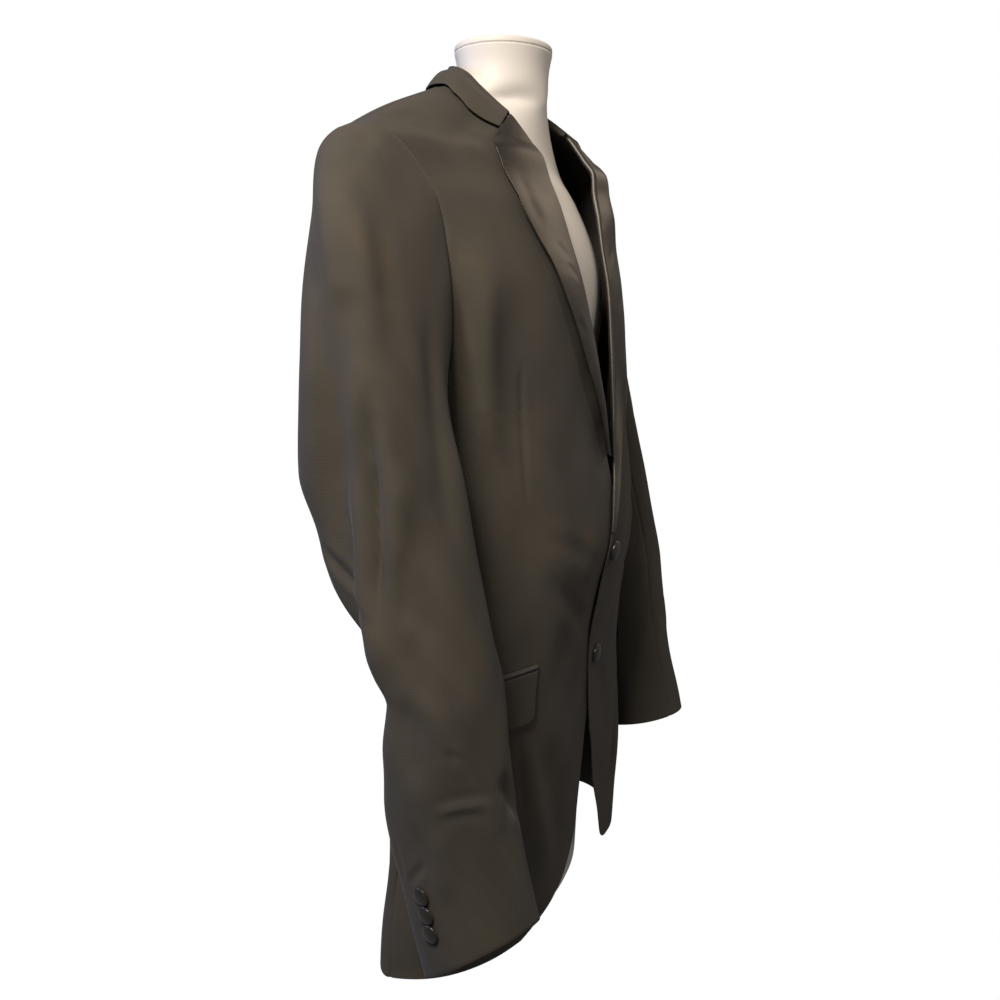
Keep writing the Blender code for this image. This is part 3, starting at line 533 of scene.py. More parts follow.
def link_mesh(name: str, points: Array, faces: list, material: bpy.types.Material,
              uv: Array | None = None) -> bpy.types.Object:
    """Makes a smooth-shaded object at the origin.

    Args:
        name: Its name.
        points: n x 3.
        faces: Point numbers of each face.
        material: Its finish.
        uv: n x 2 places on the flat cloth, in metres.

    Returns:
        The object.
    """
    mesh = bpy.data.meshes.new(name)
    mesh.from_pydata(points.tolist(), [], faces)
    if uv is not None:
        index = np.empty(len(mesh.loops), np.int32)
        mesh.loops.foreach_get("vertex_index", index)
        mesh.uv_layers.new(name="Cloth").data.foreach_set("uv", uv[index].ravel())
    mesh.materials.append(material)
    mesh.shade_smooth()
    thing = bpy.data.objects.new(name, mesh)
    bpy.context.scene.collection.objects.link(thing)
    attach(thing, "root")
    return thing


@dataclass
class Sheet:
    """A panel of cloth: a fine outer skin, an inner one a wall under it, and a rounded edge."""

    name: str
    grid: Array
    out: Array
    wall: float
    side: Side = Side.LEFT
    swings: bool = True
    held: Held = Held.DRAPED
    rests_on: tuple[str, ...] = ("torso_form_skin",)
    edge_bulge: float = 0.42  # of the wall
    edge_shares: tuple[float, float] = (0.27, 0.73)  # of the way from the outer skin to the inner

    def flat_cut(self) -> tuple[float, float, float]:
        """Width and length of the panel's longest threads, and the area of its outer skin."""
        grid = self.grid
        doubled = np.cross(grid[1:, 1:] - grid[:-1, :-1], grid[1:, :-1] - grid[:-1, 1:])
        area = float(np.linalg.norm(doubled, axis=-1).sum() / 2)
        return float(arc(grid, 1)[:, -1].max()), float(arc(grid, 0)[-1].max()), area

    def declare(self) -> None:
        """Logs the piece's name, its cut width and length, and its area."""
        width, length, area = self.flat_cut()
        area = min(area, width * length)
        LOG.info("%s: cut %.3f x %.3f m, %.4f m2", self.name, width, length, area)

    def edge_ways(self) -> Array:
        """Directions in which the cloth ends, at the points round its border."""
        grid, way = self.grid, np.zeros(self.grid.shape)
        way[0] += unit(grid[0] - grid[1])
        way[-1] += unit(grid[-1] - grid[-2])
        way[:, 0] += unit(grid[:, 0] - grid[:, 1])
        way[:, -1] += unit(grid[:, -1] - grid[:, -2])
        return unit(around(way))

    def build(self, material: bpy.types.Material) -> bpy.types.Object:
        """Closes the skins with two rings that bulge by half a wall, and mirrors the right side.

        Args:
            material: Its finish.

        Returns:
            The object.
        """
        rows, columns = self.grid.shape[:2]
        outer, inner = self.grid, self.grid - self.out * self.wall
        rim_out, rim_in, way = around(outer), around(inner), self.edge_ways()
        bulge = way * self.wall * self.edge_bulge
        rings = [between(rim_out, rim_in, share) + bulge for share in self.edge_shares]
        points = np.concatenate([outer.reshape(-1, 3), inner.reshape(-1, 3), *rings])
        count, rim = rows * columns, around(np.arange(rows * columns).reshape(rows, columns))
        steps = [rim, *(2 * count + k * len(rim) + np.arange(len(rim)) for k in (0, 1)), rim + count]
        border = [
            np.stack([a, b, np.roll(b, -1), np.roll(a, -1)], axis=-1)
            for a, b in zip(steps, steps[1:])
        ]
        skin = grid_faces(rows, columns)
        faces = np.concatenate([skin, skin[:, ::-1] + count, *border])
        turn = np.cross(self.grid[1, 1] - self.grid[0, 0], self.grid[1, 0] - self.grid[0, 1])
        if np.dot(turn, self.out[0, 0]) * self.side.value < 0:
            faces = faces[:, ::-1]
        flat = np.stack([arc(self.grid, 1), arc(self.grid, 0)], axis=-1)
        border_uv = around(flat)
        uv = np.concatenate([flat.reshape(-1, 2), flat.reshape(-1, 2), border_uv, border_uv])
        points = points * np.array([self.side.value, 1.0, 1.0])
        points = Body.swing(points) if self.swings else points
        piece = link_mesh(self.name, points, faces.tolist(), material, uv)
        self.declare()
        return piece


def dip_edges(grid: Array, out: Array, depth: float, reach: float, **edges: bool) -> Array:
    """Sinks the cloth along sewn edges by depth * exp(-(distance / reach)^2).

    Args:
        grid: rows x columns x 3.
        out: Normals there.
        depth: How far it sinks at the stitches.
        reach: How far from the edge it has risen again.
        edges: Which of first_row, last_row, first_column and last_column are sewn.

    Returns:
        The sunk grid.
    """
    sunk = np.zeros(grid.shape[:2])
    down, across = arc(grid, 0), arc(grid, 1)
    distances = {
        "first_row": down, "last_row": down[-1:] - down,
        "first_column": across, "last_column": across[:, -1:] - across,
    }
    for name, sewn in edges.items():
        if sewn:
            sunk = np.maximum(sunk, np.exp(-((distances[name] / reach) ** 2)))
    return grid - out * (depth * sunk)[..., None]


# ---- The jacket's body -------------------------------------------------------------------------
@dataclass
class Body:
    """The closed jacket's outer surface, by angle round the body (-90 front, 90 back) and height.

    It is worked out for the left half, as horizontal ovals whose sizes run smoothly with height.
    """

    underarm_z: float = 0.500
    shoulder_z: float = 0.712
    neck_point_z: float = 0.769
    back_neck_z: float = 0.766
    front_armhole_angle: float = 28.5
    back_armhole_angle: float = 34.0
    overlap_top_z: float = 0.449
    overlap_reach: float = 0.022
    tuck_fade: float = 0.040
    tuck_depth: float = 0.0029
    tuck_top: float = 0.010  # the tuck begins to end this far above the overlap
    tuck_top_fade: float = 0.045
    fold_start: float = 0.07  # heights over which a main fold begins and ends
    fold_end: float = 0.09
    lower_fullness: float = 0.8  # powers of the sine that shape the armhole
    upper_fullness: float = 0.4
    angle_step: float = 0.5  # the two steps from which normals are taken
    z_step: float = 0.0015
    past_middle_angle: float = -125.0
    halvings: int = 26
    sections: Table = Table(
        ("z", "half_width", "side_y", "front_y", "back_y", "front_square", "back_square"),
        (
            (0.010, 0.208, 0.018, -0.0900, 0.0880, 0.05, -0.16),
            (0.110, 0.200, 0.013, -0.0915, 0.0870, 0.05, -0.16),
            (0.200, 0.187, 0.008, -0.0950, 0.0870, 0.05, -0.14),
            (0.280, 0.178, 0.006, -0.0990, 0.0880, 0.05, -0.10),
            (0.330, 0.172, 0.006, -0.1070, 0.0900, 0.05, -0.05),
            (0.375, 0.170, 0.007, -0.1145, 0.0930, 0.05, 0.00),
            (0.420, 0.171, 0.008, -0.1115, 0.0980, 0.05, 0.00),
            (0.460, 0.174, 0.010, -0.1065, 0.1020, 0.04, 0.00),
            (0.500, 0.181, 0.012, -0.1020, 0.1050, 0.03, 0.00),
            (0.550, 0.195, 0.015, -0.0965, 0.1080, 0.02, 0.00),
            (0.600, 0.203, 0.016, -0.0900, 0.1080, 0.01, 0.00),
            (0.640, 0.204, 0.018, -0.0800, 0.1030, -0.03, 0.00),
            (0.665, 0.206, 0.020, -0.0730, 0.0970, -0.06, 0.00),
            (0.690, 0.221, 0.024, -0.0650, 0.0900, -0.16, 0.00),
            (0.706, 0.226, 0.028, -0.0620, 0.0840, -0.20, 0.00),
            (0.718, 0.199, 0.032, -0.0560, 0.0780, -0.22, 0.00),
            (0.731, 0.168, 0.034, -0.0520, 0.0720, -0.22, 0.00),
            (0.744, 0.136, 0.033, -0.0500, 0.0650, -0.22, 0.00),
            (0.755, 0.107, 0.030, -0.0410, 0.0580, -0.22, 0.00),
            (0.762, 0.088, 0.027, -0.0360, 0.0535, -0.22, 0.00),
            (0.768, 0.072, 0.025, -0.0350, 0.0505, -0.22, 0.00),
            (0.776, 0.052, 0.024, -0.0340, 0.0470, -0.22, 0.00),
        ),
    )
    swing_front: ClassVar[float] = 0.020  # no swing behind this y, and all of it this far before
    swing_fade: ClassVar[float] = 0.040
    swings: ClassVar[tuple[tuple[float, ...], ...]] = (  # x, z, x_width, z_width, forward
        (0.105, 0.724, 0.056, 0.074, 0.0270),
        (0.125, 0.120, 0.060, 0.110, 0.0080),
    )
    folds: Table = Table(
        ("angle", "width", "depth", "low_z", "high_z"),
        (
            (-43, 8, -0.0040, 0.31, 0.60),
            (-56, 7, 0.0025, 0.22, 0.60),
            (-34, 9, -0.0050, 0.02, 0.26),
            (-18, 8, 0.0030, 0.02, 0.30),
            (22, 9, -0.0045, 0.02, 0.42),
            (40, 9, 0.0040, 0.02, 0.50),
            (62, 10, -0.0035, 0.02, 0.40),
            (52, 9, -0.0040, 0.42, 0.64),
        ),
    )
    front_edge: Table = Table(
        ("z", "left_x", "right_x"),
        (
            (0.030, 0.0950, 0.1300),
            (0.036, 0.0650, 0.1120),
            (0.046, 0.0500, 0.0830),
            (0.060, 0.0420, 0.0590),
            (0.084, 0.0330, 0.0370),
            (0.128, 0.0130, 0.0221),
            (0.166, 0.0010, 0.0165),
            (0.190, -0.0080, 0.0140),
            (0.250, -0.0206, -0.0030),
            (0.300, -0.0229, -0.0120),
            (0.334, -0.0210, -0.0140),
            (0.370, -0.0160, -0.0140),
            (0.410, -0.0050, -0.0060),
            (0.449, 0.0070, 0.0060),
            (0.499, 0.0220, 0.0140),
            (0.538, 0.0310, 0.0210),
            (0.583, 0.0400, 0.0325),
            (0.611, 0.0450, 0.0395),
            (0.638, 0.0490, 0.0427),
            (0.665, 0.0530, 0.0450),
            (0.690, 0.0570, 0.0480),
            (0.718, 0.0595, 0.0535),
            (0.744, 0.0590, 0.0583),
            (0.752, 0.0600, 0.0600),
            (0.762, 0.0655, 0.0655),
            (0.769, 0.0714, 0.0714),
        ),
    )

    @staticmethod
    def section(angle: Array, z: Array, sizes: list[Array]) -> Array:
        """An oval with its widest place at side_y; a square above 0 swells its corners.

        Args:
            angle: Degrees round the body.
            z: Heights.
            sizes: half_width, side_y, front_y, back_y, front_square and back_square.

        Returns:
            Points.
        """
        half, side, front, back, front_square, back_square = sizes
        turn = np.radians(angle)
        depth = np.where(np.sin(turn) < 0, side - front, back - side)
        square = np.where(np.sin(turn) < 0, front_square, back_square)
        swell = 1 + square * np.sin(2 * turn) ** 2
        x, y = half * np.cos(turn) * swell, side + depth * np.sin(turn) * swell
        return np.stack(np.broadcast_arrays(x, y, np.asarray(z, float)), axis=-1)

    def point(self, angle: Array, z: Array) -> Array:
        """Points of the surface, with the main folds: depth * exp(-((angle - a) / width)^2)."""
        angle, z = np.broadcast_arrays(np.asarray(angle, float), np.asarray(z, float))
        moved = np.zeros(angle.shape)
        for middle, width, depth, low, high in self.folds.rows:
            along = fade((z - low) / self.fold_start) * fade((high - z) / self.fold_end)
            moved = moved + depth * along * np.exp(-(((angle - middle) / width) ** 2))
        turn = np.radians(angle)
        outward = unit(np.stack([np.cos(turn) * 0.5, np.sin(turn), 0 * turn], axis=-1))
        return self.section(angle, z, self.sections.all_at(z)) + outward * moved[..., None]

    def normal(self, angle: Array, z: Array) -> Array:
        """Outward normals, from two small steps across the surface."""
        turn, rise = self.angle_step, self.z_step
        round_body = self.point(angle + turn, z) - self.point(angle - turn, z)
        up_body = self.point(angle, z + rise) - self.point(angle, z - rise)
        return unit(np.cross(round_body, up_body))

    def front_angle(self, x: Array, z: Array) -> Array:
        """Angles at which the front is at this x, by halving the span that holds them."""
        x, z = np.broadcast_arrays(np.asarray(x, float), np.asarray(z, float))
        low, high = np.full(x.shape, self.past_middle_angle), np.zeros(x.shape)
        for _ in range(self.halvings):
            middle = (low + high) / 2
            past = self.point(middle, z)[..., 0] > x
            low, high = np.where(past, low, middle), np.where(past, middle, high)
        return (low + high) / 2

    def tuck(self, points: Array) -> Array:
        """How far the right front lies in under the left one (points in left-half x)."""
        reach = 1 - fade((points[..., 0] - self.overlap_reach) / self.tuck_fade)
        above = points[..., 2] - self.overlap_top_z - self.tuck_top
        return self.tuck_depth * reach * (1 - fade(above / self.tuck_top_fade))

    def armhole(self, degrees: Array, forward: Array) -> tuple[Array, Array]:
        """(angle, z) on the armhole, 0 degrees at the underarm and 180 at the shoulder point."""
        turn = np.radians(degrees)
        reach = np.where(forward, -self.front_armhole_angle, self.back_armhole_angle)
        fullness = np.where(np.asarray(degrees) > 90, self.upper_fullness, self.lower_fullness)
        middle, half = (self.underarm_z + self.shoulder_z) / 2, (self.shoulder_z - self.underarm_z) / 2
        return reach * np.abs(np.sin(turn)) ** fullness, middle - half * np.cos(turn)

    @classmethod
    def swing(cls, points: Array) -> Array:
        """The same points, with the left front's two places moved forward by a round bell.

        forward * exp(-(dx / x_width)^2 - (dz / z_width)^2), only in front of the side.
        """
        points = np.array(points, float)
        front = fade((cls.swing_front - points[..., 1]) / cls.swing_fade)
        for x, z, x_width, z_width, forward in cls.swings:
            away = ((points[..., 0] - x) / x_width) ** 2 + ((points[..., 2] - z) / z_width) ** 2
            points[..., 1] -= forward * front * np.exp(-away)
        return points


@dataclass
class Panels:
    """Fronts and backs: four panels of suiting sewn at the sides, shoulders and centre back."""

    body: Body
    wall: float = 0.0012
    seam_gap: float = 0.00012
    crease_depth: float = 1.3  # every crease's own depth times this
    seam_dip: float = 0.0008
    seam_reach: float = 0.0019
    hem_z: float = 0.030
    hem_drop: float = 0.010
    wave_height: float = 0.0005
    calm_z: float = 0.62  # above this the waves lose a share of their height
    calm_reach: float = 0.06
    calmed: float = 0.75
    front_seed: float = 0.4
    back_seed: float = 1.3
    hem_reach: float = 0.25  # height over which the front's lower hem is made up
    neck_share: float = 1 / 3  # of a back's width, under its neckline
    bend_power: int = 4  # the higher, the later the back's rows bend to neckline and shoulder
    low_rows: int = 96
    low_crowding: float = 1.6  # the higher, the closer the rows are near the hem
    arm_step: float = 2.0
    front_columns: int = 96
    back_columns: int = 81
    front_creases: dict[Side, tuple[Crease, ...]] = field(default_factory=dict)
    back_creases: dict[Side, tuple[Crease, ...]] = field(default_factory=dict)

    def side_rows(self) -> tuple[Array, Array]:
        """z of each row's end at the side seam, closer together low down, then the armhole."""
        low = self.hem_z - self.hem_drop
        seam = low + (self.body.underarm_z - low) * np.linspace(0, 1, self.low_rows + 1) ** self.low_crowding
        return seam, np.arange(self.arm_step, 180.1, self.arm_step)

    def row_ends(self, forward: bool) -> tuple[Array, Array, Array]:
        """Angle and z of the rows' outer ends, and z of the lowest row."""
        seam, arm = self.side_rows()
        arm_angle, arm_z = self.body.armhole(arm, forward)
        return np.concatenate([0 * seam, arm_angle]), np.concatenate([seam, arm_z]), seam[0]

    def front_places(self, side: Side) -> tuple[Array, Array]:
        """Angles and heights of a front's grid, from its edge, roll line or neckline outward."""
        body = self.body
        side_angle, side_z, lowest = self.row_ends(True)
        stretch = (body.neck_point_z - body.underarm_z) / (body.shoulder_z - body.underarm_z)
        above = body.underarm_z + (side_z - body.underarm_z) * stretch
        edge_z = np.where(side_z > body.underarm_z, above, side_z)
        edge_z = edge_z + self.hem_drop * (1 - fade((side_z - lowest) / self.hem_reach))
        edge_x = body.front_edge.at(f"{side.word}_x", edge_z)
        edge_angle = body.front_angle(edge_x, edge_z)
        edge_angle[-1] = 0.0
        share = shares(self.front_columns)
        return (between(edge_angle[:, None], side_angle[:, None], share),
                between(edge_z[:, None], side_z[:, None], share))

    def back_places(self) -> tuple[Array, Array]:
        """Angles and heights of half of the back; its top rows bend to neckline and shoulder."""
        body = self.body
        side_angle, side_z, _ = self.row_ends(False)
        stretch = (body.back_neck_z - body.underarm_z) / (body.shoulder_z - body.underarm_z)
        above = body.underarm_z + (side_z - body.underarm_z) * stretch
        middle_z = np.where(side_z > body.underarm_z, above, side_z)
        corner = self.neck_share
        share = shares(self.back_columns, keep=corner)
        plain_angle = between(90.0, side_angle[:, None], share)
        plain_z = between(middle_z[:, None], side_z[:, None], share)
        round_neck = np.clip(share / corner, 0, 1)
        down_shoulder = np.clip((share - corner) / (1 - corner), 0, 1)
        top_z = between(body.back_neck_z, body.neck_point_z, round_neck)
        top_z = top_z - (body.neck_point_z - body.shoulder_z) * down_shoulder
        height = (side_z - body.underarm_z) / (body.shoulder_z - body.underarm_z)
        upness = np.clip(height, 0, 1)[:, None] ** self.bend_power
        angle = plain_angle + (90.0 * (1 - round_neck) - plain_angle[-1]) * upness
        return angle, plain_z + (top_z - plain_z[-1]) * upness

    def dressed(self, angle: Array, z: Array, creases: tuple[Crease, ...], seed: float,
                seams: dict[str, bool]) -> tuple[Array, Array]:
        """Creased points of a panel and its smooth normals."""
        grid, out = self.body.point(angle, z), self.body.normal(angle, z)
        calm = 1 - self.calmed * fade((z - self.calm_z) / self.calm_reach)
        relief = crease_relief(creases, grid, out) * self.crease_depth
        relief = relief + undulation(grid, self.wave_height, seed) * calm
        grid = dip_edges(grid + out * relief[..., None], out, self.seam_dip, self.seam_reach, **seams)
        return grid, out

    def front(self, side: Side, finishes: Finishes) -> bpy.types.Object:
        """One front, the right one tucked under the left where they overlap.

        Args:
            side: Which front.
            finishes: The materials.

        Returns:
            The object.
        """
        angle, z = self.front_places(side)
        seams = {"last_row": True, "last_column": True}
        seed = self.front_seed * side.value
        grid, out = self.dressed(angle, z, self.front_creases[side], seed, seams)
        if side is Side.RIGHT:
            grid = grid - out * self.body.tuck(self.body.point(angle, z))[..., None]
        name = f"{side.word}_front_cloth"
        panel = Sheet(name, grid, out, self.wall, side).build(finishes.wool)
        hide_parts(f"front_{side.word}")
        return panel

    def back(self, side: Side, finishes: Finishes) -> bpy.types.Object:
        """Half of the back.

        Args:
            side: Which half.
            finishes: The materials.

        Returns:
            The object.
        """
        angle, z = self.back_places()
        seams = {"last_row": True, "last_column": True, "first_column": True}
        seed = self.back_seed * side.value
        grid, out = self.dressed(angle, z, self.back_creases[side], seed, seams)
        out[:, 0, 0] = 0.0
        grid[:, 0, 0] = self.seam_gap
        name = f"{side.word}_back_cloth"
        panel = Sheet(name, grid, unit(out), self.wall, side).build(finishes.wool)
        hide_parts(f"back_{side.word}")
        return panel


# ---- Sleeves -----------------------------------------------------------------------------------
@dataclass
class Sleeves:
    """Two-piece sleeves: a tube of ovals, 0 degrees outwards and 90 forwards, with a full cap."""

    body: Body
    wall: float = 0.0012
    hind_seam: float = -84.0
    forearm_seam: float = 120.0
    cap_top_slope: float = 0.50
    cap_low_slope: float = 1.40
    cap_front_spread: float = 0.30
    cap_back_spread: float = 0.05
    seam_gap: float = 0.0003
    cap_rows: int = 42
    tube_rows: int = 150
    crease_depth: float = 1.5  # every crease's own depth times this
    column_step: float = 2.6
    ridge_width: float = 18.0
    hollow_behind: float = 36.0
    hollow_width: float = 20.0
    join_z: float = 0.5425  # middle height at which the cap meets the tube, and how far it
    join_rise: float = 0.0725  # rises outside and drops at the underarm
    wave_height: float = 0.0006
    seam_dip: float = 0.0008
    seam_reach: float = 0.0019
    seam_half_gap: float = 0.12  # degrees
    outer_step: float = 1.5  # degrees to the columns that only lend the seams their normals
    column_edge: float = 0.006
    wave_seed: float = 2.1
    join_step: float = 0.004  # height over which the tube's direction is taken at the join
    first_rows: tuple[float, ...] = (0.0, 0.004, 0.010)  # shares of the cap, at the armhole
    creases: dict[Side, tuple[Crease, ...]] = field(default_factory=dict)
    sections: Table = Table(
        ("z", "middle_x", "half_width", "front_y", "back_y"),
        (
            (0.040, 0.235, 0.0430, -0.1460, -0.0490),
            (0.060, 0.235, 0.0440, -0.1410, -0.0430),
            (0.130, 0.236, 0.0460, -0.1250, -0.0260),
            (0.180, 0.237, 0.0480, -0.1130, -0.0160),
            (0.220, 0.238, 0.0510, -0.1050, -0.0120),
            (0.260, 0.238, 0.0540, -0.1000, -0.0140),
            (0.300, 0.238, 0.0550, -0.0950, -0.0200),
            (0.320, 0.238, 0.0540, -0.0920, -0.0050),
            (0.340, 0.238, 0.0530, -0.0880, 0.0110),
            (0.380, 0.237, 0.0510, -0.0800, 0.0360),
            (0.420, 0.236, 0.0500, -0.0720, 0.0490),
            (0.460, 0.235, 0.0510, -0.0640, 0.0620),
            (0.500, 0.233, 0.0560, -0.0530, 0.0600),
            (0.540, 0.231, 0.0600, -0.0440, 0.0560),
            (0.580, 0.230, 0.0600, -0.0360, 0.0520),
            (0.630, 0.229, 0.0580, -0.0300, 0.0450),
        ),
    )
    ridge: Table = Table(
        ("z", "angle", "height", "hollow"),
        (
            (0.040, -60, 0.0020, 0.0000),
            (0.180, -56, 0.0030, 0.0000),
            (0.300, -40, 0.0050, 0.0040),
            (0.360, -4, 0.0070, 0.0120),
            (0.430, 18, 0.0070, 0.0130),
            (0.500, 28, 0.0060, 0.0110),
            (0.560, 24, 0.0050, 0.0080),
            (0.630, 8, 0.0040, 0.0050),
        ),
    )
    cuff: Table = Table(  # height of the cuff's middle, its rise in front and its lift outside
        ("side", "middle_z", "rise", "lift"),
        ((-1, 0.0935, 0.0305, 0.0100), (1, 0.1070, 0.0120, -0.0030)),
    )

    def point(self, angle: Array, z: Array) -> Array:
        """Points of the tube, swollen by the long ridge and sunk by the hollow behind it."""
        angle, z = np.broadcast_arrays(np.asarray(angle, float), np.asarray(z, float))
        middle, half, front, back = self.sections.all_at(z)
        ridge, height, hollow = self.ridge.all_at(z)
        turned = (angle - ridge + 180) % 360 - 180
        bump = height * np.exp(-((turned / self.ridge_width) ** 2))
        dent = hollow * np.exp(-(((turned + self.hollow_behind) / self.hollow_width) ** 2))
        turn, out = np.radians(angle), 1.0 + (bump - dent) / half
        x = middle + half * np.cos(turn) * out
        y = (front + back) / 2 - (back - front) / 2 * np.sin(turn) * out
        return np.stack([x, y, z], axis=-1)

    def grid(self, side: Side, angle: Array) -> Array:
        """Rows of the cap, then of the tube, at these angles.

        Each cap column is a cubic from the armhole, leaving along the shoulder's slope, to the
        tube's top, which it meets in line.

        Args:
            side: Whose cuff it ends at.
            angle: Degrees round the sleeve.

        Returns:
            rows x columns x 3.
        """
        from_top = np.abs((angle + 180) % 360 - 180)
        forward = ((angle + 360) % 360) <= 180
        start = self.body.point(*self.body.armhole(180 - from_top, forward))
        turn = np.radians(from_top)
        slope = self.cap_top_slope + (self.cap_low_slope - self.cap_top_slope) * (1 - np.cos(turn)) / 2
        spread = np.sin(turn) * np.where(forward, -self.cap_front_spread, self.cap_back_spread)
        leave = unit(np.stack([np.ones(len(turn)), spread, -slope], axis=-1))
        top_z = self.join_z + self.join_rise * np.cos(np.radians(angle))
        join = self.point(angle, top_z)
        down = unit(self.point(angle, top_z - self.join_step) - join)
        reach = np.linalg.norm(join - start, axis=-1)[:, None]
        t = np.linspace(0, 1, self.cap_rows + 1)[:-1]
        t = np.concatenate([self.first_rows, t[1:]])[:, None, None]
        start = start + leave * self.seam_gap
        cap = (
            start * (1 + 2 * t) * (1 - t) ** 2
            + leave * reach * t * (1 - t) ** 2
            + join * t * t * (3 - 2 * t)
            - down * reach * t * t * (1 - t)
        )
        middle, rise, lift = (float(v) for v in self.cuff.all_at(side.value))
        end_z = middle + rise * np.sin(np.radians(angle)) + lift * np.cos(np.radians(angle))
        share = np.linspace(0, 1, self.tube_rows + 1)[:, None]
        return np.concatenate([cap, self.point(angle, between(top_z, end_z, share))])

    def piece(self, side: Side, name: str, first: float, last: float,
              finishes: Finishes) -> bpy.types.Object:
        """The under sleeve or the top sleeve, between two seams.

        Args:
            side: Which arm.
            name: The node's name without its side.
            first: Angle of its first seam.
            last: Angle of its last seam.
            finishes: The materials.

        Returns:
            The object.
        """
        share = shares(round((last - first) / self.column_step), edge=self.column_edge)
        inner = between(first + self.seam_half_gap, last - self.seam_half_gap, share)
        step = self.outer_step
        angle = np.concatenate([[inner[0] - step], inner, [inner[-1] + step]])
        wide = self.grid(side, angle)
        out = grid_normals(wide)
        relief = crease_relief(self.creases[side], wide, out) * self.crease_depth
        relief = relief + undulation(wide, self.wave_height, self.wave_seed + side.value)
        wide = wide + out * relief[..., None]
        grid, out = wide[:, 1:-1], out[:, 1:-1]
        grid = dip_edges(grid, out, self.seam_dip, self.seam_reach, first_column=True,
                         last_column=True, first_row=True)
        hung_from = (f"{side.word}_front_cloth", f"{side.word}_back_cloth")
        made = Sheet(f"{name}_{side.word}_cloth", grid, out, self.wall, side, False, Held.HUNG,
                     hung_from)
        piece = made.build(finishes.wool)
        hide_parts(f"{name}_{side.word}")
        return piece

    def build(self, side: Side, finishes: Finishes) -> bpy.types.Object:
        """Both pieces of one sleeve. Returns the top sleeve, which the cuff buttons stand on."""
        self.piece(side, "under_sleeve", self.forearm_seam, self.hind_seam + 360, finishes)
        return self.piece(side, "top_sleeve", self.hind_seam, self.forearm_seam, finishes)


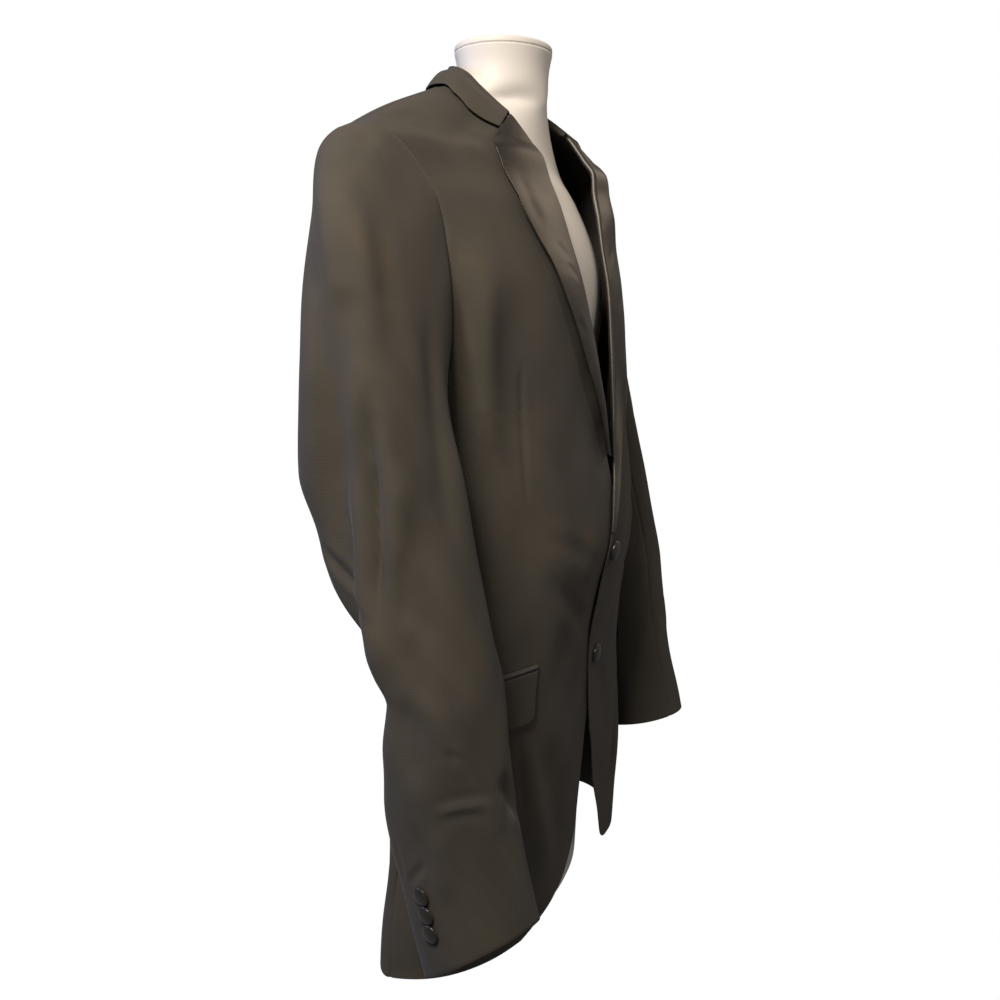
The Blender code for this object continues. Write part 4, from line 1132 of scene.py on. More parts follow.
# ---- Lapels and collar -------------------------------------------------------------------------
@dataclass
class Lapels:
    """Satin lapels, each turned back over the front's edge in a soft roll."""

    body: Body
    wall: float = 0.0008
    rise: float = 0.0031
    roll_radius: float = 0.0026
    facing_reach: float = 0.009
    rows: int = 150
    columns: int = 44
    right_end_z: float = 0.4520
    narrow: float = 0.004  # at this width the roll is smallest, and it is full this much wider
    full_reach: float = 0.016
    radius_shares: tuple[float, float] = (0.55, 0.45)  # least share, and what full width adds
    rise_shares: tuple[float, float] = (0.62, 0.38)
    facing_share: float = 0.7  # of the width, the most that the facing goes in under the front
    fall_turn: float = 0.62  # of half a turn, along which the edge's lift follows a sine
    column_edge: float = 0.012
    wave_height: float = 0.0003
    wave_seed: float = 5.0
    roll_columns: int = 13
    behind_columns: int = 8
    crease_depth: float = 0.45  # every crease's own depth times this
    shape: Table = Table(
        ("roll_z", "edge_x", "edge_z", "edge_lift"),
        (
            (0.7405, 0.0885, 0.7180, 0.0010),
            (0.7240, 0.1025, 0.7060, 0.0015),
            (0.7000, 0.1030, 0.6850, 0.0020),
            (0.6750, 0.1035, 0.6620, 0.0025),
            (0.6500, 0.0970, 0.6400, 0.0030),
            (0.6250, 0.0885, 0.6180, 0.0040),
            (0.5980, 0.0795, 0.5930, 0.0050),
            (0.5700, 0.0685, 0.5660, 0.0060),
            (0.5400, 0.0570, 0.5370, 0.0065),
            (0.5100, 0.0450, 0.5080, 0.0070),
            (0.4800, 0.0310, 0.4790, 0.0065),
            (0.4520, 0.0170, 0.4515, 0.0055),
            (0.4250, 0.0060, 0.4245, 0.0040),
            (0.4000, -0.0040, 0.3998, 0.0025),
            (0.3800, -0.0105, 0.3798, 0.0015),
        ),
    )
    creases: dict[Side, tuple[Crease, ...]] = field(default_factory=dict)

    def build(self, side: Side, finishes: Finishes) -> bpy.types.Object:
        """The facing under the front, round the roll, and across to the lapel's edge.

        Args:
            side: Which lapel.
            finishes: The materials.

        Returns:
            The object.
        """
        body = self.body
        low = self.shape.rows[-1][0] if side is Side.LEFT else self.right_end_z
        roll_z = np.linspace(low, self.shape.rows[0][0], self.rows + 1)
        edge_x, edge_z, lift = self.shape.all_at(roll_z)
        roll_x = body.front_edge.at(f"{side.word}_x", roll_z)
        width = np.hypot(edge_x - roll_x, edge_z - roll_z)[:, None]
        small = fade((width - self.narrow) / self.full_reach)
        radius = self.roll_radius * (self.radius_shares[0] + self.radius_shares[1] * small)
        rise = self.rise * (self.rise_shares[0] + self.rise_shares[1] * small)
        behind = np.linspace(1, 0, self.behind_columns)[None, :-1]
        behind = np.minimum(self.facing_reach, width * self.facing_share) * behind
        turn = np.linspace(math.pi, 0, self.roll_columns)[None, :]
        share = shares(self.columns, edge=self.column_edge)[None, 1:]
        flat = np.concatenate([behind / width, 0 * turn + 0 * width, share + 0 * width], axis=1)
        x = between(roll_x[:, None], edge_x[:, None], flat)
        z = between(roll_z[:, None], edge_z[:, None], flat)
        angle = body.front_angle(x, z)
        points, out = body.point(angle, z), body.normal(angle, z)
        fall = rise + lift[:, None] * np.sin(share * math.pi * self.fall_turn)
        along = unit(points[:, -1] - points[:, behind.shape[1]])[:, None]
        upright = np.concatenate(
            [rise - 2 * radius + 0 * behind, rise - radius * (1 - np.cos(turn)), fall], axis=1
        )
        sideways = np.concatenate([0 * behind, -radius * np.sin(turn), 0 * share + 0 * width], axis=1)
        grid = points + out * upright[..., None] + along * sideways[..., None]
        spin = np.concatenate([0 * behind + math.pi, turn + 0 * width, 0 * share + 0 * width], axis=1)
        face = out * np.cos(spin)[..., None] - along * np.sin(spin)[..., None]
        relief = crease_relief(self.creases[side], grid, face) * self.crease_depth
        relief = relief + undulation(grid, self.wave_height, self.wave_seed)
        grid = grid + face * relief[..., None]
        if side is Side.RIGHT:
            grid = grid - out * body.tuck(points)[..., None]
        made = Sheet(f"{side.word}_lapel_satin", grid, unit(face), self.wall, side,
                     held=Held.FOLDED, rests_on=(f"{side.word}_front_cloth",))
        lapel = made.build(finishes.satin)
        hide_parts(f"lapel_{side.word}")
        return lapel


@dataclass
class Collar:
    """Collar of suiting, cut in one: up as the stand, over the fold, and down as the fall."""

    body: Body
    wall: float = 0.0013
    fold_radius: float = 0.0042
    fall_lift: float = 0.0022
    belly: float = 0.0025
    stations: int = 66
    section_points: int = 46
    fold_drop: float = 0.8  # of the fold's radius
    stand_share: float = 0.55  # of the way up the stand
    fall_shares: tuple[float, float] = (0.35, 0.70)  # of the way down the fall
    low_belly: float = 0.7  # of the belly, at the second of them
    wave_height: float = 0.0003
    wave_seed: float = 3.3
    shape: Table = Table(
        ("station", "stand_x", "stand_y", "stand_z", "roll_x", "roll_y", "roll_z", "fall_angle",
         "fall_z"),
        (
            (0, 0.0535, -0.0240, 0.7430, 0.0565, -0.0285, 0.7460, -58.5, 0.7285),
            (1, 0.0537, -0.0130, 0.7525, 0.0560, -0.0170, 0.7560, -50.0, 0.7330),
            (2, 0.0565, 0.0000, 0.7610, 0.0560, -0.0030, 0.7690, -37.0, 0.7410),
            (3, 0.0605, 0.0150, 0.7690, 0.0550, 0.0115, 0.7820, -22.0, 0.7540),
            (4, 0.0520, 0.0320, 0.7700, 0.0460, 0.0270, 0.7890, 0.0, 0.7650),
            (5, 0.0300, 0.0430, 0.7690, 0.0285, 0.0400, 0.7930, 50.0, 0.7630),
            (6, 0.0000, 0.0470, 0.7690, 0.0000, 0.0455, 0.7950, 90.0, 0.7570),
        ),
    )

    def build(self, finishes: Finishes) -> bpy.types.Object:
        """Sections through eight points at every station, splined, and mirrored at the back."""
        at = np.linspace(0, len(self.shape.rows) - 1, self.stations + 1)
        sx, sy, sz, rx, ry, rz, angle, z = self.shape.all_at(at)
        foot, roll = np.stack([sx, sy, sz], axis=-1), np.stack([rx, ry, rz], axis=-1)
        normal = self.body.normal(angle, z)
        edge = self.body.point(angle, z) + normal * (self.fall_lift + self.wall)
        outward = unit((edge - roll) * np.array([1.0, 1.0, 0.0]))
        drop = np.array([0.0, 0.0, -self.fold_radius * self.fold_drop])
        inner, outer = roll - outward * self.fold_radius + drop, roll + outward * self.fold_radius + drop
        belly = normal * self.belly
        sections = np.stack([
            foot, between(foot, inner, self.stand_share), inner, roll, outer,
            between(outer, edge, self.fall_shares[0]) + belly,
            between(outer, edge, self.fall_shares[1]) + belly * self.low_belly, edge,
        ])
        half = spline(sections, self.section_points)
        mirrored = half[:, -2::-1] * np.array([-1.0, 1.0, 1.0])
        grid = np.concatenate([half, mirrored], axis=1)
        out = -grid_normals(grid)
        grid = grid + out * undulation(grid, self.wave_height, self.wave_seed)[..., None]
        neck_edges = tuple(f"{side.word}_{piece}_cloth" for side in Side for piece in ("front", "back"))
        made = Sheet("collar_cloth", grid, out, self.wall, held=Held.FOLDED, rests_on=neck_edges)
        collar = made.build(finishes.wool)
        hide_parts("collar")
        return collar


# ---- Pockets -----------------------------------------------------------------------------------
@dataclass
class Pockets:
    """A flap of suiting out of a jetted mouth, a satin jet above it."""

    body: Body
    top_z: float = 0.2790
    flap_depth: float = 0.044
    slope: float = 0.10
    front_angle: float = -51.0
    back_angle: float = -3.0
    jet_depth: float = 0.0055
    jet_tuck: float = 0.0048  # how far the piping goes on behind the flap
    wall: float = 0.0012
    rise: float = 0.0026
    corner: float = 0.006
    edge_lift: float = 0.0012
    columns: int = 72
    rows: int = 26
    jet_rows: int = 22
    jet_wall: float = 0.0009
    jet_sink: float = 0.0009  # how far the piping's edges lie under the flap's height
    jet_round: float = 0.0014  # and how far its middle rises again
    jet_duck: float = 0.00048  # and how far it ducks in behind the flap
    jet_edge: float = 0.0003  # flat edge above the round
    jet_bend: float = 0.0010  # height above the mouth at which the duck begins
    wave_height: float = 0.0003
    deepest_crease: float = 0.001

    def patch(self, up: float, down: float, rise: Array, rows: int) -> tuple[Array, Array]:
        """A grid over the front between two distances from the mouth, and its normals.

        Args:
            up: How far above the mouth it starts.
            down: How far under the mouth it ends.
            rise: How far each row stands off.
            rows: Number of rows.

        Returns:
            Points and normals.
        """
        share = shares(self.columns, edge=0.01)
        angle = between(self.front_angle, self.back_angle, share)[None, :]
        x = self.body.point(angle, np.full(angle.shape, self.top_z))[..., 0]
        mouth = self.top_z - self.slope * (x - x[:, :1])
        along = (x - x[:, :1]) * math.copysign(1, float(x[0, -1] - x[0, 0]))
        end = np.minimum(along, along[:, -1:] - along)
        cut = np.clip(1 - end / self.corner, 0, 1)
        trim = self.corner * (1 - np.sqrt(1 - cut**2)) if down > 0.02 else 0.0
        z = between(mouth + up, mouth - down + trim, np.linspace(0, 1, rows)[:, None])
        angle = np.broadcast_to(angle, z.shape)
        out = self.body.normal(angle, z)
        return self.body.point(angle, z) + out * rise[:, None, None], out

    def build(self, side: Side, creases: tuple[Crease, ...], finishes: Finishes) -> None:
        """Flap and jet of one pocket.

        Args:
            side: Which pocket.
            creases: The front's creases, which the flap follows.
            finishes: The materials.
        """
        t = np.linspace(0, 1, self.rows)
        rise = self.rise + self.edge_lift * t**2
        grid, out = self.patch(0.0, self.flap_depth, rise, self.rows)
        relief = crease_relief(creases, grid, out)
        waves = undulation(grid, self.wave_height, 7.0 * side.value)
        relief = np.maximum(relief, -self.deepest_crease) + waves
        grid = grid + out * relief[..., None]
        front = (f"{side.word}_front_cloth",)
        made = Sheet(f"pocket_flap_{side.word}_cloth", grid, out, self.wall, side, held=Held.HUNG,
                     rests_on=front)
        flap = made.build(finishes.wool)
        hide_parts(f"pocket_flap_{side.word}")
        height = np.linspace(self.jet_depth + self.jet_edge, -self.jet_tuck, self.jet_rows)
        bump = np.sin(math.pi * np.clip(height / self.jet_depth, 0, 1))
        tucked = fade((self.jet_bend - height) / self.jet_bend)
        rise = self.rise - self.jet_sink + self.jet_round * bump - self.jet_duck * tucked
        grid, out = self.patch(height[0], self.jet_tuck, rise, len(height))
        made = Sheet(f"pocket_jet_{side.word}_satin", grid, out, self.jet_wall, side,
                     held=Held.FOLDED, rests_on=front)
        jet = made.build(finishes.satin)
        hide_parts(f"pocket_jet_{side.word}")


# ---- Buttons -----------------------------------------------------------------------------------
@dataclass
class Buttons:
    """Covered buttons: two on the front through buttonholes, three beside each cuff's seam."""

    body: Body
    sleeves: Sleeves
    front_radius: float = 0.0092
    cuff_radius: float = 0.0072
    front_x: float = -0.005
    front_heights: tuple[float, ...] = (0.363, 0.261)
    cuff_heights: tuple[float, ...] = (0.1565, 0.1418, 0.1271)
    cuff_angle: float = -17.0
    shank_radius: float = 0.0012
    front_stand: float = 0.0004  # between cloth and button
    cuff_stand: float = 0.0009
    cuff_shank: float = 0.0012
    sides: int = 64

    def profile(self, radius: float, shank: float) -> Array:
        """(radius, height) from the top of the dome, round its rim, to the end of the shank."""
        rim, dome = radius * 0.16, radius * 0.30
        turn = np.radians(np.linspace(86, 8, 14))
        top = np.stack([radius * np.cos(turn), rim + dome * np.sin(turn)], axis=-1)
        side = np.array([
            (radius, rim * 0.95), (radius, rim * 0.55), (radius * 0.985, rim * 0.2),
            (radius * 0.94, 0.0), (radius * 0.55, -0.0001), (self.shank_radius, -0.0002),
            (self.shank_radius, -shank * 0.5), (self.shank_radius, -shank),
        ])
        return np.concatenate([top, side])

    def turned(self, name: str, radius: float, shank: float, place: Matrix,
               finishes: Finishes) -> bpy.types.Object:
        """Spins the profile round its axis, closes both poles, and stands it in place.

        Args:
            name: Name of the new piece.
            radius: Of the button.
            shank: Length of its shank.
            place: Where its underside stands, its +Z along the cloth's normal.
            finishes: The materials.

        Returns:
            The object.
        """
        line = self.profile(radius, shank)
        turn = np.linspace(0, math.tau, self.sides, endpoint=False)
        rings = np.stack(np.broadcast_arrays(
            line[:, :1] * np.cos(turn), line[:, :1] * np.sin(turn), line[:, 1:]), axis=-1)
        poles = np.array([(0.0, 0.0, line[0, 1] + 0.00002), (0.0, 0.0, line[-1, 1])])
        points = np.concatenate([rings.reshape(-1, 3), poles])
        turned = np.array(place)
        points = points @ turned[:3, :3].T + turned[:3, 3]
        faces = capped_rings(*rings.shape[:2], upward=False)
        button = link_mesh(name, points, faces, finishes.button)
        return button

    @staticmethod
    def land(cloth: bpy.types.Object, point: Array, normal: Array) -> Vector:
        """Where a needle coming in against this normal first touches a piece of cloth."""
        tree = BVHTree.FromObject(cloth, bpy.context.evaluated_depsgraph_get())
        start, way = Vector(point), Vector(normal)
        return tree.ray_cast(start + way * 0.05, -way)[0]

    @staticmethod
    def stand_on(point: Vector, normal: Vector) -> Matrix:
        """Placement whose +Z is the cloth's normal."""
        across = normal.cross(Vector((0, 0, 1))).normalized()
        turn = Matrix((across, normal.cross(across), normal)).transposed().to_4x4()
        return Matrix.Translation(point) @ turn

    def front(self, left: bpy.types.Object, right: bpy.types.Object, finishes: Finishes) -> None:
        """Both front buttons, their shanks down to the right front.

        Args:
            left: The left front, which they stand on.
            right: The right front, which they are sewn to.
            finishes: The materials.
        """
        for number, z in enumerate(self.front_heights, start=1):
            angle = self.body.front_angle(self.front_x, z)
            where, normal = self.body.point(angle, z), self.body.normal(angle, z)
            point = self.land(left, where, normal)
            shank = (point - self.land(right, where, normal)).length
            place = self.stand_on(point + Vector(normal) * self.front_stand, Vector(normal))
            name = f"covered_front_button_{number}"
            shank = shank + self.front_stand
            button = self.turned(name, self.front_radius, shank, place, finishes)
            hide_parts(f"front_button_{number}")

    def cuff(self, side: Side, sleeve: bpy.types.Object, finishes: Finishes) -> None:
        """Three buttons in a row beside the hind-arm seam.

        Args:
            side: Which cuff.
            sleeve: The top sleeve.
            finishes: The materials.
        """
        mirror = np.array([side.value, 1.0, 1.0])
        for number, z in enumerate(self.cuff_heights, start=1):
            tube, angle = self.sleeves.point, self.cuff_angle
            across = tube(angle + 6, z) - tube(angle - 6, z)
            up_sleeve = tube(angle, z + 0.01) - tube(angle, z - 0.01)
            normal = unit(np.cross(up_sleeve, across)) * mirror
            point = self.land(sleeve, tube(angle, z) * mirror, normal)
            place = self.stand_on(point + Vector(normal) * self.cuff_stand, Vector(normal))
            name = f"covered_cuff_button_{side.word}_{number}"
            button = self.turned(name, self.cuff_radius, self.cuff_shank, place, finishes)
            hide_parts(f"cuff_button_{side.word}_{number}")


# ---- Torso form --------------------------------------------------------------------------------
@dataclass
class TorsoForm:
    """Headless, limbless torso on a flat foot, with a plate that closes its neck."""

    body: Body
    sides: int = 120
    rings_between: int = 5
    smoothing: int = 14  # times that each ring moves halfway to the mean of its neighbours
    foot_rows: int = 4  # rows of the trunk's table that keep the foot's sharp edge
    cap_gap: float = 0.0002
    cap_edge: float = 0.0022
    gap: float = 0.0040
    shoulder_square: float = -0.22
    widest: float = 0.202
    neck_top_z: float = 0.8048
    cap_height: float = 0.006
    trunk: tuple[tuple[float, ...], ...] = (
        (0.000, 0.124, 0.000, -0.0560, 0.0580, 0.02),
        (0.003, 0.129, 0.000, -0.0600, 0.0630, 0.02),
        (0.010, 0.132, 0.000, -0.0620, 0.0650, 0.02),
        (0.070, 0.138, 0.000, -0.0640, 0.0680, 0.02),
        (0.140, 0.146, 0.000, -0.0650, 0.0700, 0.02),
        (0.220, 0.151, 0.001, -0.0650, 0.0720, 0.02),
        (0.300, 0.150, 0.003, -0.0650, 0.0750, 0.02),
        (0.370, 0.150, 0.006, -0.0650, 0.0800, 0.02),
        (0.440, 0.156, 0.009, -0.0660, 0.0860, 0.02),
        (0.510, 0.168, 0.013, -0.0705, 0.0930, 0.02),
        (0.560, 0.179, 0.015, -0.0790, 0.0960, 0.01),
        (0.600, 0.184, 0.016, -0.0820, 0.0960, 0.00),
        (0.625, 0.186, 0.017, -0.0790, 0.0940, -0.03),
        (0.648, 0.189, 0.019, -0.0730, 0.0910, -0.09),
        (0.670, 0.195, 0.021, -0.0640, 0.0860, -0.16),
    )
    shoulders: tuple[tuple[float, float], ...] = (
        (0.688, -0.0550), (0.700, -0.0450), (0.710, -0.0415), (0.722, -0.0395),
        (0.734, -0.0385), (0.745, -0.0385), (0.753, -0.0388),
    )
    neck: tuple[tuple[float, ...], ...] = (
        (0.7590, 0.0660, 0.0240, -0.0400, 0.0480, -0.20),
        (0.7650, 0.0540, 0.0120, -0.0400, 0.0430, -0.10),
        (0.7730, 0.0465, 0.0030, -0.0397, 0.0400, 0.00),
        (0.7820, 0.0440, 0.0000, -0.0395, 0.0395, 0.00),
        (0.7910, 0.0440, 0.0000, -0.0402, 0.0402, 0.00),
        (0.7985, 0.0455, 0.0000, -0.0418, 0.0418, 0.00),
        (0.8048, 0.0468, 0.0000, -0.0432, 0.0432, 0.00),
    )

    def key_rings(self) -> Array:
        """The rings at the heights of the tables; on the shoulders they follow the jacket."""
        angle = np.arange(self.sides) * 360.0 / self.sides - 180.0
        folded = np.abs(angle) > 90
        inner = np.where(folded, np.sign(angle) * (180 - np.abs(angle)), angle)
        both = np.stack([np.where(folded, -1.0, 1.0), np.ones(self.sides), np.ones(self.sides)], -1)
        rows = [(z, half, side, front, back, square, 0.0)
                for z, half, side, front, back, square in self.trunk]
        for z, front in self.shoulders:
            half, side, _, back, _, _ = (float(v) for v in self.body.sections.all_at(z + self.gap))
            rows.append((z, min(half, self.widest), side, front, back - self.gap,
                         self.shoulder_square, 0.0))
        rows += [(z, half, side, front, back, square, square)
                 for z, half, side, front, back, square in self.neck]
        return np.array([Body.section(inner, row[0], list(row[1:])) * both for row in rows])

    def build(self, finishes: Finishes) -> bpy.types.Object:
        """Rings read smoothly between the tables' rows, with both ends closed."""
        keys = self.key_rings()
        at = np.linspace(0, len(keys) - 1, (len(keys) - 1) * self.rings_between + 1)
        low = np.clip(np.floor(at).astype(int), 0, len(keys) - 2)
        t = (at - low)[:, None, None]
        before, after = keys[np.clip(low - 1, 0, None)], keys[np.clip(low + 2, None, len(keys) - 1)]
        here, there = keys[low], keys[low + 1]
        lean = (1 - t) * (there - before) / 2 + t * (after - here) / 2
        straight = between(here, there, t)
        bend = t * (1 - t) * ((1 - 2 * t) * (lean - (there - here)))
        rings = straight + bend * 0.9
        low, high = self.foot_rows * self.rings_between, len(rings) - self.rings_between - 1
        for _ in range(self.smoothing):
            both = rings[low - 1 : high - 1] + rings[low + 1 : high + 1]
            rings[low:high] += (both - 2 * rings[low:high]) / 4
        points = np.concatenate([rings.reshape(-1, 3), rings[:1].mean(axis=1), rings[-1:].mean(axis=1)])
        faces = capped_rings(*rings.shape[:2], upward=True)
        form = link_mesh("torso_form_skin", points, faces, finishes.form)
        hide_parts("form_body")
        return form

    def build_cap(self, finishes: Finishes) -> bpy.types.Object:
        """The neck's plate: a flat top, a rounded upper edge and a thin step underneath."""
        half_width, half_depth = self.neck[-1][1], self.neck[-1][4]
        low = self.neck_top_z + self.cap_gap
        turn = np.radians(np.linspace(90, 0, 8))
        r = self.cap_edge
        line = [(s, self.cap_height) for s in (0.2, 0.45, 0.7, 0.9)]
        line += [(1 + (np.cos(a) - 1) * r / half_width, self.cap_height - r + r * np.sin(a))
                 for a in turn]
        line += [(1.0, 0.0016), (0.998, 0.0009), (0.978, 0.0008), (0.976, 0.0), (0.9, 0.0), (0.5, 0.0)]
        line = np.array(line)
        angle = np.linspace(0, math.tau, self.sides, endpoint=False)
        rings = np.stack(np.broadcast_arrays(
            line[:, :1] * half_width * np.cos(angle), line[:, :1] * half_depth * np.sin(angle),
            low + line[:, 1:]), axis=-1)
        poles = np.array([(0.0, 0.0, low + self.cap_height), (0.0, 0.0, low)])
        faces = capped_rings(*rings.shape[:2], upward=False)
        cap = link_mesh("neck_plate", np.concatenate([rings.reshape(-1, 3), poles]), faces,
                        finishes.form)
        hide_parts("form_neck_cap")
        return cap


# ---- Studio ------------------------------------------------------------------------------------
@dataclass(frozen=True)
class Lamp:
    """One soft square light: its name, place, aim, side in metres, watts and sRGB colour."""

    name: str
    place: tuple[float, float, float]
    aim: tuple[float, float, float]
    size: float
    power: float
    colour: str

    def build(self) -> bpy.types.Object:
        """Hangs the light."""
        lamp = bpy.data.lights.new(self.name, "AREA")
        lamp.size, lamp.energy, lamp.color = self.size, self.power, linear(self.colour)[:3]
        thing = bpy.data.objects.new(self.name, lamp)
        thing.location = self.place
        way = Vector(self.aim) - Vector(self.place)
        thing.rotation_euler = way.to_track_quat("-Z", "Y").to_euler()
        bpy.context.scene.collection.objects.link(thing)
        return thing


@dataclass
class Studio:
    """A white room: the camera, a white shell that only it sees, and soft lights."""

    camera_place: tuple[float, float, float] = (-0.8680, -0.3690, 0.5710)
    camera_turn: tuple[float, float, float] = (79.77, 0.0, -66.78)
    lens: float = 35.64
    world_light: float = 0.12
    world_colour: str = "#E9EDF5"
    shell_radius: float = 8.0
    shell_sides: int = 48
    shell_rings: int = 25
    lamps: tuple[Lamp, ...] = (
        Lamp("Key", (-1.04, -0.10, 1.34), (-0.1, 0.0, 0.5), 0.4, 19.0, "#FFF2E2"),
        Lamp("Cool rim", (-0.7, 1.5, 1.0), (-0.1, 0.0, 0.5), 0.6, 9.0, "#A9C0FF"),
        Lamp("Satin light", (1.15, -0.85, 1.5), (0.0, -0.08, 0.62), 0.9, 5.4, "#FFE6C8"),
        Lamp("Far fill", (1.5, 0.8, 1.1), (0.1, 0.0, 0.45), 0.7, 9.0, "#E4EBFF"),
        Lamp("Front light", (-0.1, -1.6, 0.95), (0.0, -0.1, 0.45), 0.35, 2.4, "#FFEBD2"),
    )

    def build(self) -> None:
        """Places the camera, the shell and the lights, and sets the render's view."""
        scene = bpy.context.scene
        camera = bpy.data.objects.new("Camera", bpy.data.cameras.new("Camera"))
        camera.data.lens, camera.data.sensor_width = self.lens, 36.0
        camera.data.clip_start, camera.data.clip_end = 0.05, 50.0
        camera.location = self.camera_place
        camera.rotation_euler = [math.radians(a) for a in self.camera_turn]
        scene.collection.objects.link(camera)
        scene.camera = camera
        world = bpy.data.worlds.new("White room")
        world.use_nodes = True
        back = world.node_tree.nodes["Background"]
        back.inputs["Color"].default_value = linear(self.world_colour)
        back.inputs["Strength"].default_value = self.world_light
        scene.world = world
        scene.render.engine = "CYCLES"
        scene.render.resolution_x = scene.render.resolution_y = 1000
        scene.view_settings.view_transform = "Standard"
        self.backdrop()
        for lamp in self.lamps:
            lamp.build()

    def backdrop(self) -> bpy.types.Object:
        """A white shell all round that the camera sees, and that lights and shades nothing."""
        turn = np.linspace(0, math.tau, self.shell_sides, endpoint=False)
        rise = np.linspace(-1.5, 1.5, self.shell_rings)[:, None]
        ring = np.stack(np.broadcast_arrays(
            np.cos(rise) * np.cos(turn), np.cos(rise) * np.sin(turn), np.sin(rise)), axis=-1)
        poles = [(0, 0, -1.0), (0, 0, 1.0)]
        points = np.concatenate([ring.reshape(-1, 3), poles]) * self.shell_radius
        white = bpy.data.materials.new("White paper")
        white.use_nodes = True
        nodes = white.node_tree.nodes
        nodes.remove(nodes["Principled BSDF"])
        glow = add(white, "Emission", Color=(1.0, 1.0, 1.0, 1.0), Strength=1.0)
        white.node_tree.links.new(glow.outputs[0], nodes["Material Output"].inputs["Surface"])
        mesh = bpy.data.meshes.new("White shell")
        mesh.from_pydata(points.tolist(), [], capped_rings(*ring.shape[:2], upward=False))
        mesh.materials.append(white)
        shell = bpy.data.objects.new("white_shell", mesh)
        for kind in ("diffuse", "glossy", "transmission", "volume_scatter", "shadow"):
            setattr(shell, f"visible_{kind}", False)
        bpy.context.scene.collection.objects.link(shell)
        shell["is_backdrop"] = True
        return shell


# ---- Creases, listed one by one ----------------------------------------------------------------
SHOULDER_CREASES = (
    Crease((186, 23, 720), (170, 20, 726), (151, 16, 732), 5, -0.8),
    Crease((219, 26, 708), (223, 15, 702), (229, 4, 693), 6, 1.0),
    Crease((85, -15, 734), (114, -12, 721), (159, -15, 700), 7, 0.9),
)
FRONT_CREASES = {
    Side.RIGHT: (
        *SHOULDER_CREASES,
        Crease((143, -42, 654), (156, -53, 549), (152, -55, 430), 13, -2.2),
        Crease((168, -41, 615), (167, -45, 557), (158, -47, 487), 8, 2.0),
        Crease((176, -29, 634), (175, -39, 587), (164, -42, 510), 8, 2.2),
        Crease((129, -70, 539), (127, -72, 483), (128, -75, 421), 2.4, 1.0, 0.2, 0.15),
        Crease((26, -107, 352), (93, -101, 382), (119, -84, 396), 6, 1.2),
        Crease((11, -96, 275), (91, -97, 336), (117, -88, 363), 7, 1.2),
        Crease((100, -84, 217), (80, -86, 144), (62, -87, 63), 13, 2.4),
        Crease((124, -75, 222), (112, -79, 157), (96, -82, 72), 10, -1.5),
        Crease((131, -72, 224), (128, -73, 182), (122, -76, 133), 6, 1.3),
    ),
    Side.LEFT: (
        Crease((180, 22, 722), (162, 20, 729), (146, 17, 734), 5, -0.7),
        Crease((90, -15, 732), (118, -12, 719), (156, -13, 702), 8, 0.8),
        Crease((147, -40, 640), (154, -52, 556), (149, -58, 450), 14, -1.8),
        Crease((170, -38, 622), (169, -43, 560), (160, -45, 500), 9, 1.8),
        Crease((127, -71, 541), (126, -73, 484), (127, -76, 424), 2.4, 1.0, 0.2, 0.15),
        Crease((24, -108, 357), (84, -103, 392), (112, -86, 415), 6, 1.3),
        Crease((14, -97, 268), (86, -98, 322), (120, -87, 352), 7, 1.1),
        Crease((106, -82, 210), (92, -84, 140), (80, -86, 70), 12, 2.0),
        Crease((134, -70, 215), (130, -72, 160), (121, -75, 96), 9, -1.5),
    ),
}
BACK_CREASES = {
    Side.RIGHT: (
        Crease((186, 23, 720), (170, 22, 726), (151, 18, 732), 5, -0.8),
        Crease((176, 60, 640), (150, 84, 616), (112, 98, 604), 9, 1.6),
        Crease((172, 62, 590), (150, 84, 560), (118, 98, 545), 8, 1.3),
        Crease((160, 52, 470), (150, 60, 420), (151, 52, 360), 12, 1.8),
        Crease((30, 100, 470), (58, 98, 440), (92, 90, 425), 9, 1.4),
        Crease((12, 96, 395), (46, 92, 410), (84, 84, 404), 8, 1.3),
        Crease((96, 82, 300), (104, 78, 200), (110, 74, 80), 14, 2.2),
        Crease((52, 88, 290), (54, 86, 190), (58, 84, 60), 12, -1.6),
        Crease((182, 30, 250), (186, 31, 160), (190, 32, 60), 10, 1.6),
        Crease((28, 76, 730), (60, 66, 722), (96, 56, 712), 7, 1.0),
    ),
    Side.LEFT: (
        Crease((180, 22, 722), (164, 21, 728), (148, 18, 733), 5, -0.7),
        Crease((178, 58, 650), (152, 83, 630), (118, 97, 622), 9, 1.5),
        Crease((174, 60, 580), (154, 82, 552), (124, 96, 540), 9, 1.4),
        Crease((162, 50, 480), (151, 60, 435), (150, 54, 370), 11, 1.6),
        Crease((26, 101, 455), (56, 98, 432), (88, 91, 412), 8, 1.3),
        Crease((16, 97, 380), (50, 91, 390), (90, 82, 384), 8, 1.2),
        Crease((92, 83, 310), (98, 80, 210), (102, 77, 90), 13, 2.0),
        Crease((48, 88, 280), (48, 86, 180), (50, 85, 70), 12, -1.4),
        Crease((182, 28, 260), (187, 29, 170), (192, 30, 60), 10, 1.5),
        Crease((30, 76, 728), (64, 65, 718), (98, 55, 706), 7, 0.9),
    ),
}
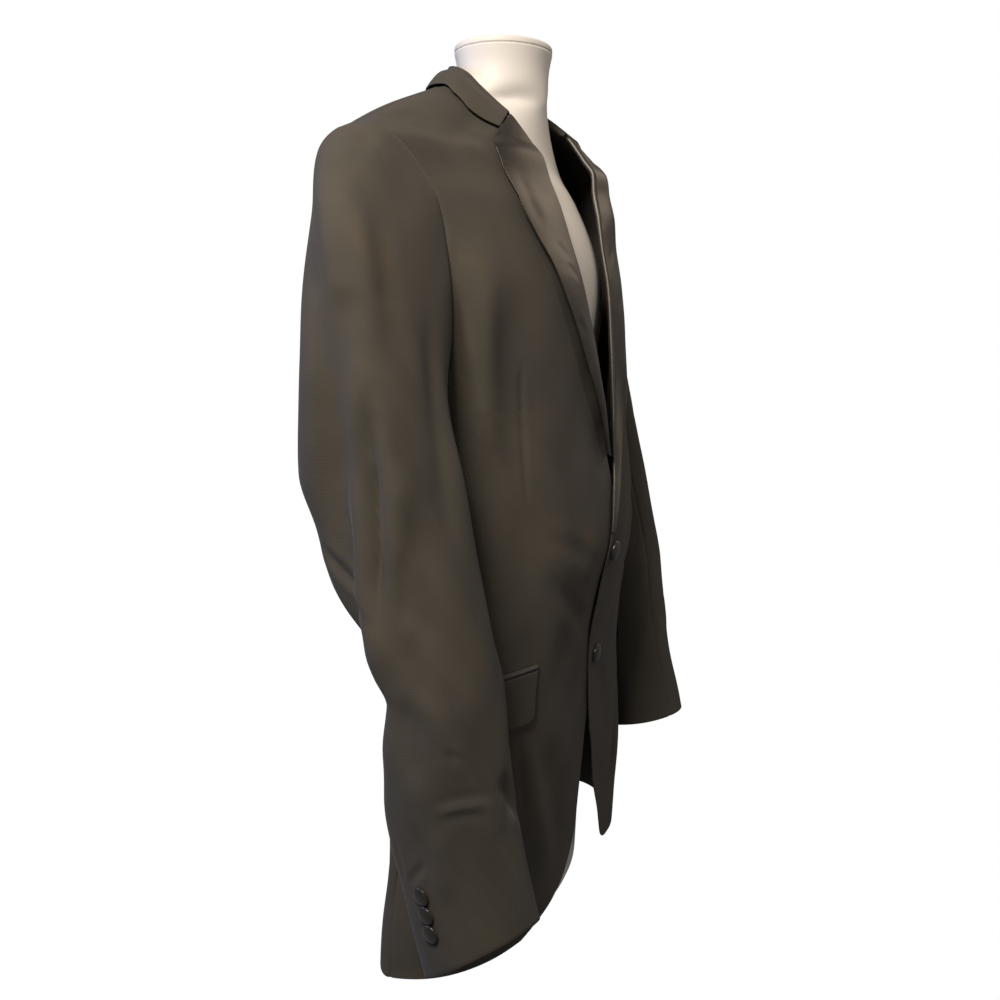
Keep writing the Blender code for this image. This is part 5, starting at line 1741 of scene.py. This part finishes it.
SLEEVE_CREASES = {
    Side.RIGHT: (
        Crease((287, -21, 532), (288, -24, 457), (294, -31, 366), 6, 3.6),
        Crease((289, -22, 478), (290, -26, 424), (294, -33, 340), 9, 5.0),
        Crease((288, -8, 595), (290, -4, 559), (276, 9, 482), 14, 2.2),
        Crease((266, 3, 664), (276, -16, 610), (282, -26, 537), 10, -2.4),
        Crease((265, 34, 414), (268, 11, 390), (294, -33, 356), 4, 2.0),
        Crease((284, -42, 417), (285, -45, 388), (287, -50, 358), 6, 1.3),
        Crease((287, -50, 358), (289, -58, 332), (290, -67, 301), 7, 1.3),
        Crease((291, -58, 319), (292, -54, 278), (290, -58, 235), 12, 1.8),
        Crease((286, -77, 275), (283, -81, 270), (280, -84, 264), 3.5, 0.8),
        Crease((288, -66, 225), (278, -87, 231), (255, -102, 224), 3.5, -1.3),
        Crease((245, -101, 246), (236, -104, 224), (230, -108, 201), 10, 2.0),
        Crease((275, -40, 158), (282, -51, 173), (286, -61, 186), 3, 1.0),
        Crease((268, -34, 196), (272, -35, 178), (274, -38, 160), 3, 1.0),
        Crease((287, -71, 221), (285, -72, 187), (283, -75, 149), 8, -1.4),
        Crease((244, -102, 244), (229, -105, 217), (216, -108, 190), 5, 1.2),
        Crease((259, -33, 565), (274, -41, 484), (282, -46, 409), 16, -2.0),
        Crease((223, -36, 586), (241, -52, 502), (256, -70, 405), 9, 1.6),
        Crease((219, 26, 708), (223, 15, 702), (229, 4, 693), 6, 1.0),
        Crease((196, 20, 330), (205, 26, 350), (222, 40, 372), 7, 1.6),
        Crease((190, -20, 420), (188, -26, 350), (190, -40, 280), 10, 1.8),
    ),
    Side.LEFT: (
        Crease((287, -18, 520), (289, -22, 450), (293, -30, 372), 7, 3.0),
        Crease((288, -6, 600), (289, -2, 556), (278, 10, 492), 14, 2.0),
        Crease((264, 2, 668), (274, -15, 618), (281, -25, 548), 10, -2.0),
        Crease((264, 36, 420), (270, 12, 396), (292, -30, 368), 5, 1.8),
        Crease((282, -44, 425), (286, -46, 396), (288, -52, 362), 6, 1.2),
        Crease((286, -54, 345), (289, -60, 322), (288, -70, 292), 7, 1.4),
        Crease((290, -56, 300), (291, -56, 262), (288, -60, 220), 12, 1.6),
        Crease((286, -64, 214), (276, -86, 220), (254, -100, 216), 4, -1.1),
        Crease((248, -100, 262), (240, -103, 240), (232, -107, 214), 10, 1.8),
        Crease((224, -34, 590), (240, -50, 510), (254, -68, 415), 9, 1.5),
        Crease((198, 18, 338), (206, 25, 356), (220, 38, 380), 7, 1.4),
        Crease((190, -18, 430), (188, -25, 360), (190, -38, 290), 10, 1.7),
    ),
}
LAPEL_CREASES = {
    Side.RIGHT: (
        Crease((84, -34, 723), (84, -38, 719), (77, -42, 716), 4, -0.7),
        Crease((75, -79, 637), (67, -83, 629), (57, -86, 622), 4, 1.0),
        Crease((65, -87, 620), (59, -89, 613), (46, -91, 606), 4, 1.0),
        Crease((70, -96, 575), (63, -99, 567), (54, -101, 557), 4, 1.0),
        Crease((85, -51, 697), (93, -64, 668), (83, -75, 643), 6, 0.8),
    ),
    Side.LEFT: (
        Crease((82, -36, 721), (82, -40, 715), (74, -44, 711), 4, -0.6),
        Crease((72, -80, 644), (64, -84, 634), (56, -86, 626), 4, 0.9),
        Crease((68, -88, 598), (60, -91, 590), (50, -93, 580), 4, 0.9),
        Crease((48, -104, 520), (40, -106, 508), (30, -108, 498), 4, 0.9),
        Crease((88, -52, 690), (94, -62, 662), (86, -72, 636), 6, 0.8),
    ),
}


def plain(box: object) -> object:
    """Bounds as plain lists and numbers."""
    if isinstance(box, dict):
        return {name: plain(part) for name, part in box.items()}
    if isinstance(box, (list, tuple, np.ndarray, Vector)):
        return [plain(part) for part in box]
    return float(box)


def main() -> None:
    """Builds every piece in order."""
    logging.basicConfig(level=logging.INFO, format="%(name)s: %(message)s")
    finishes = Finishes(
        WoolFinish().material(), SatinFinish().material(), CoveredButtonFinish().material(),
        FormFinish().material(),
    )
    loaded = plain(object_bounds())
    body = Body()
    form = TorsoForm(body)
    form.build(finishes)
    form.build_cap(finishes)
    LOG.info("torso form and neck plate")
    panels = Panels(body, front_creases=FRONT_CREASES, back_creases=BACK_CREASES)
    sleeves = Sleeves(body, creases=SLEEVE_CREASES)
    lapels, pockets = Lapels(body, creases=LAPEL_CREASES), Pockets(body)
    buttons = Buttons(body, sleeves)
    fronts = {}
    for side in Side:
        fronts[side] = panels.front(side, finishes)
        panels.back(side, finishes)
        sleeve = sleeves.build(side, finishes)
        lapels.build(side, finishes)
        pockets.build(side, FRONT_CREASES[side], finishes)
        buttons.cuff(side, sleeve, finishes)
        LOG.info("%s half: front, back, sleeve, lapel, pocket and cuff buttons", side.word)
    Collar(body).build(finishes)
    buttons.front(fronts[Side.LEFT], fronts[Side.RIGHT], finishes)
    LOG.info("collar and front buttons")
    Studio().build()
    {"loaded": loaded, "made": plain(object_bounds())}


if __name__ == "__main__":
    main()
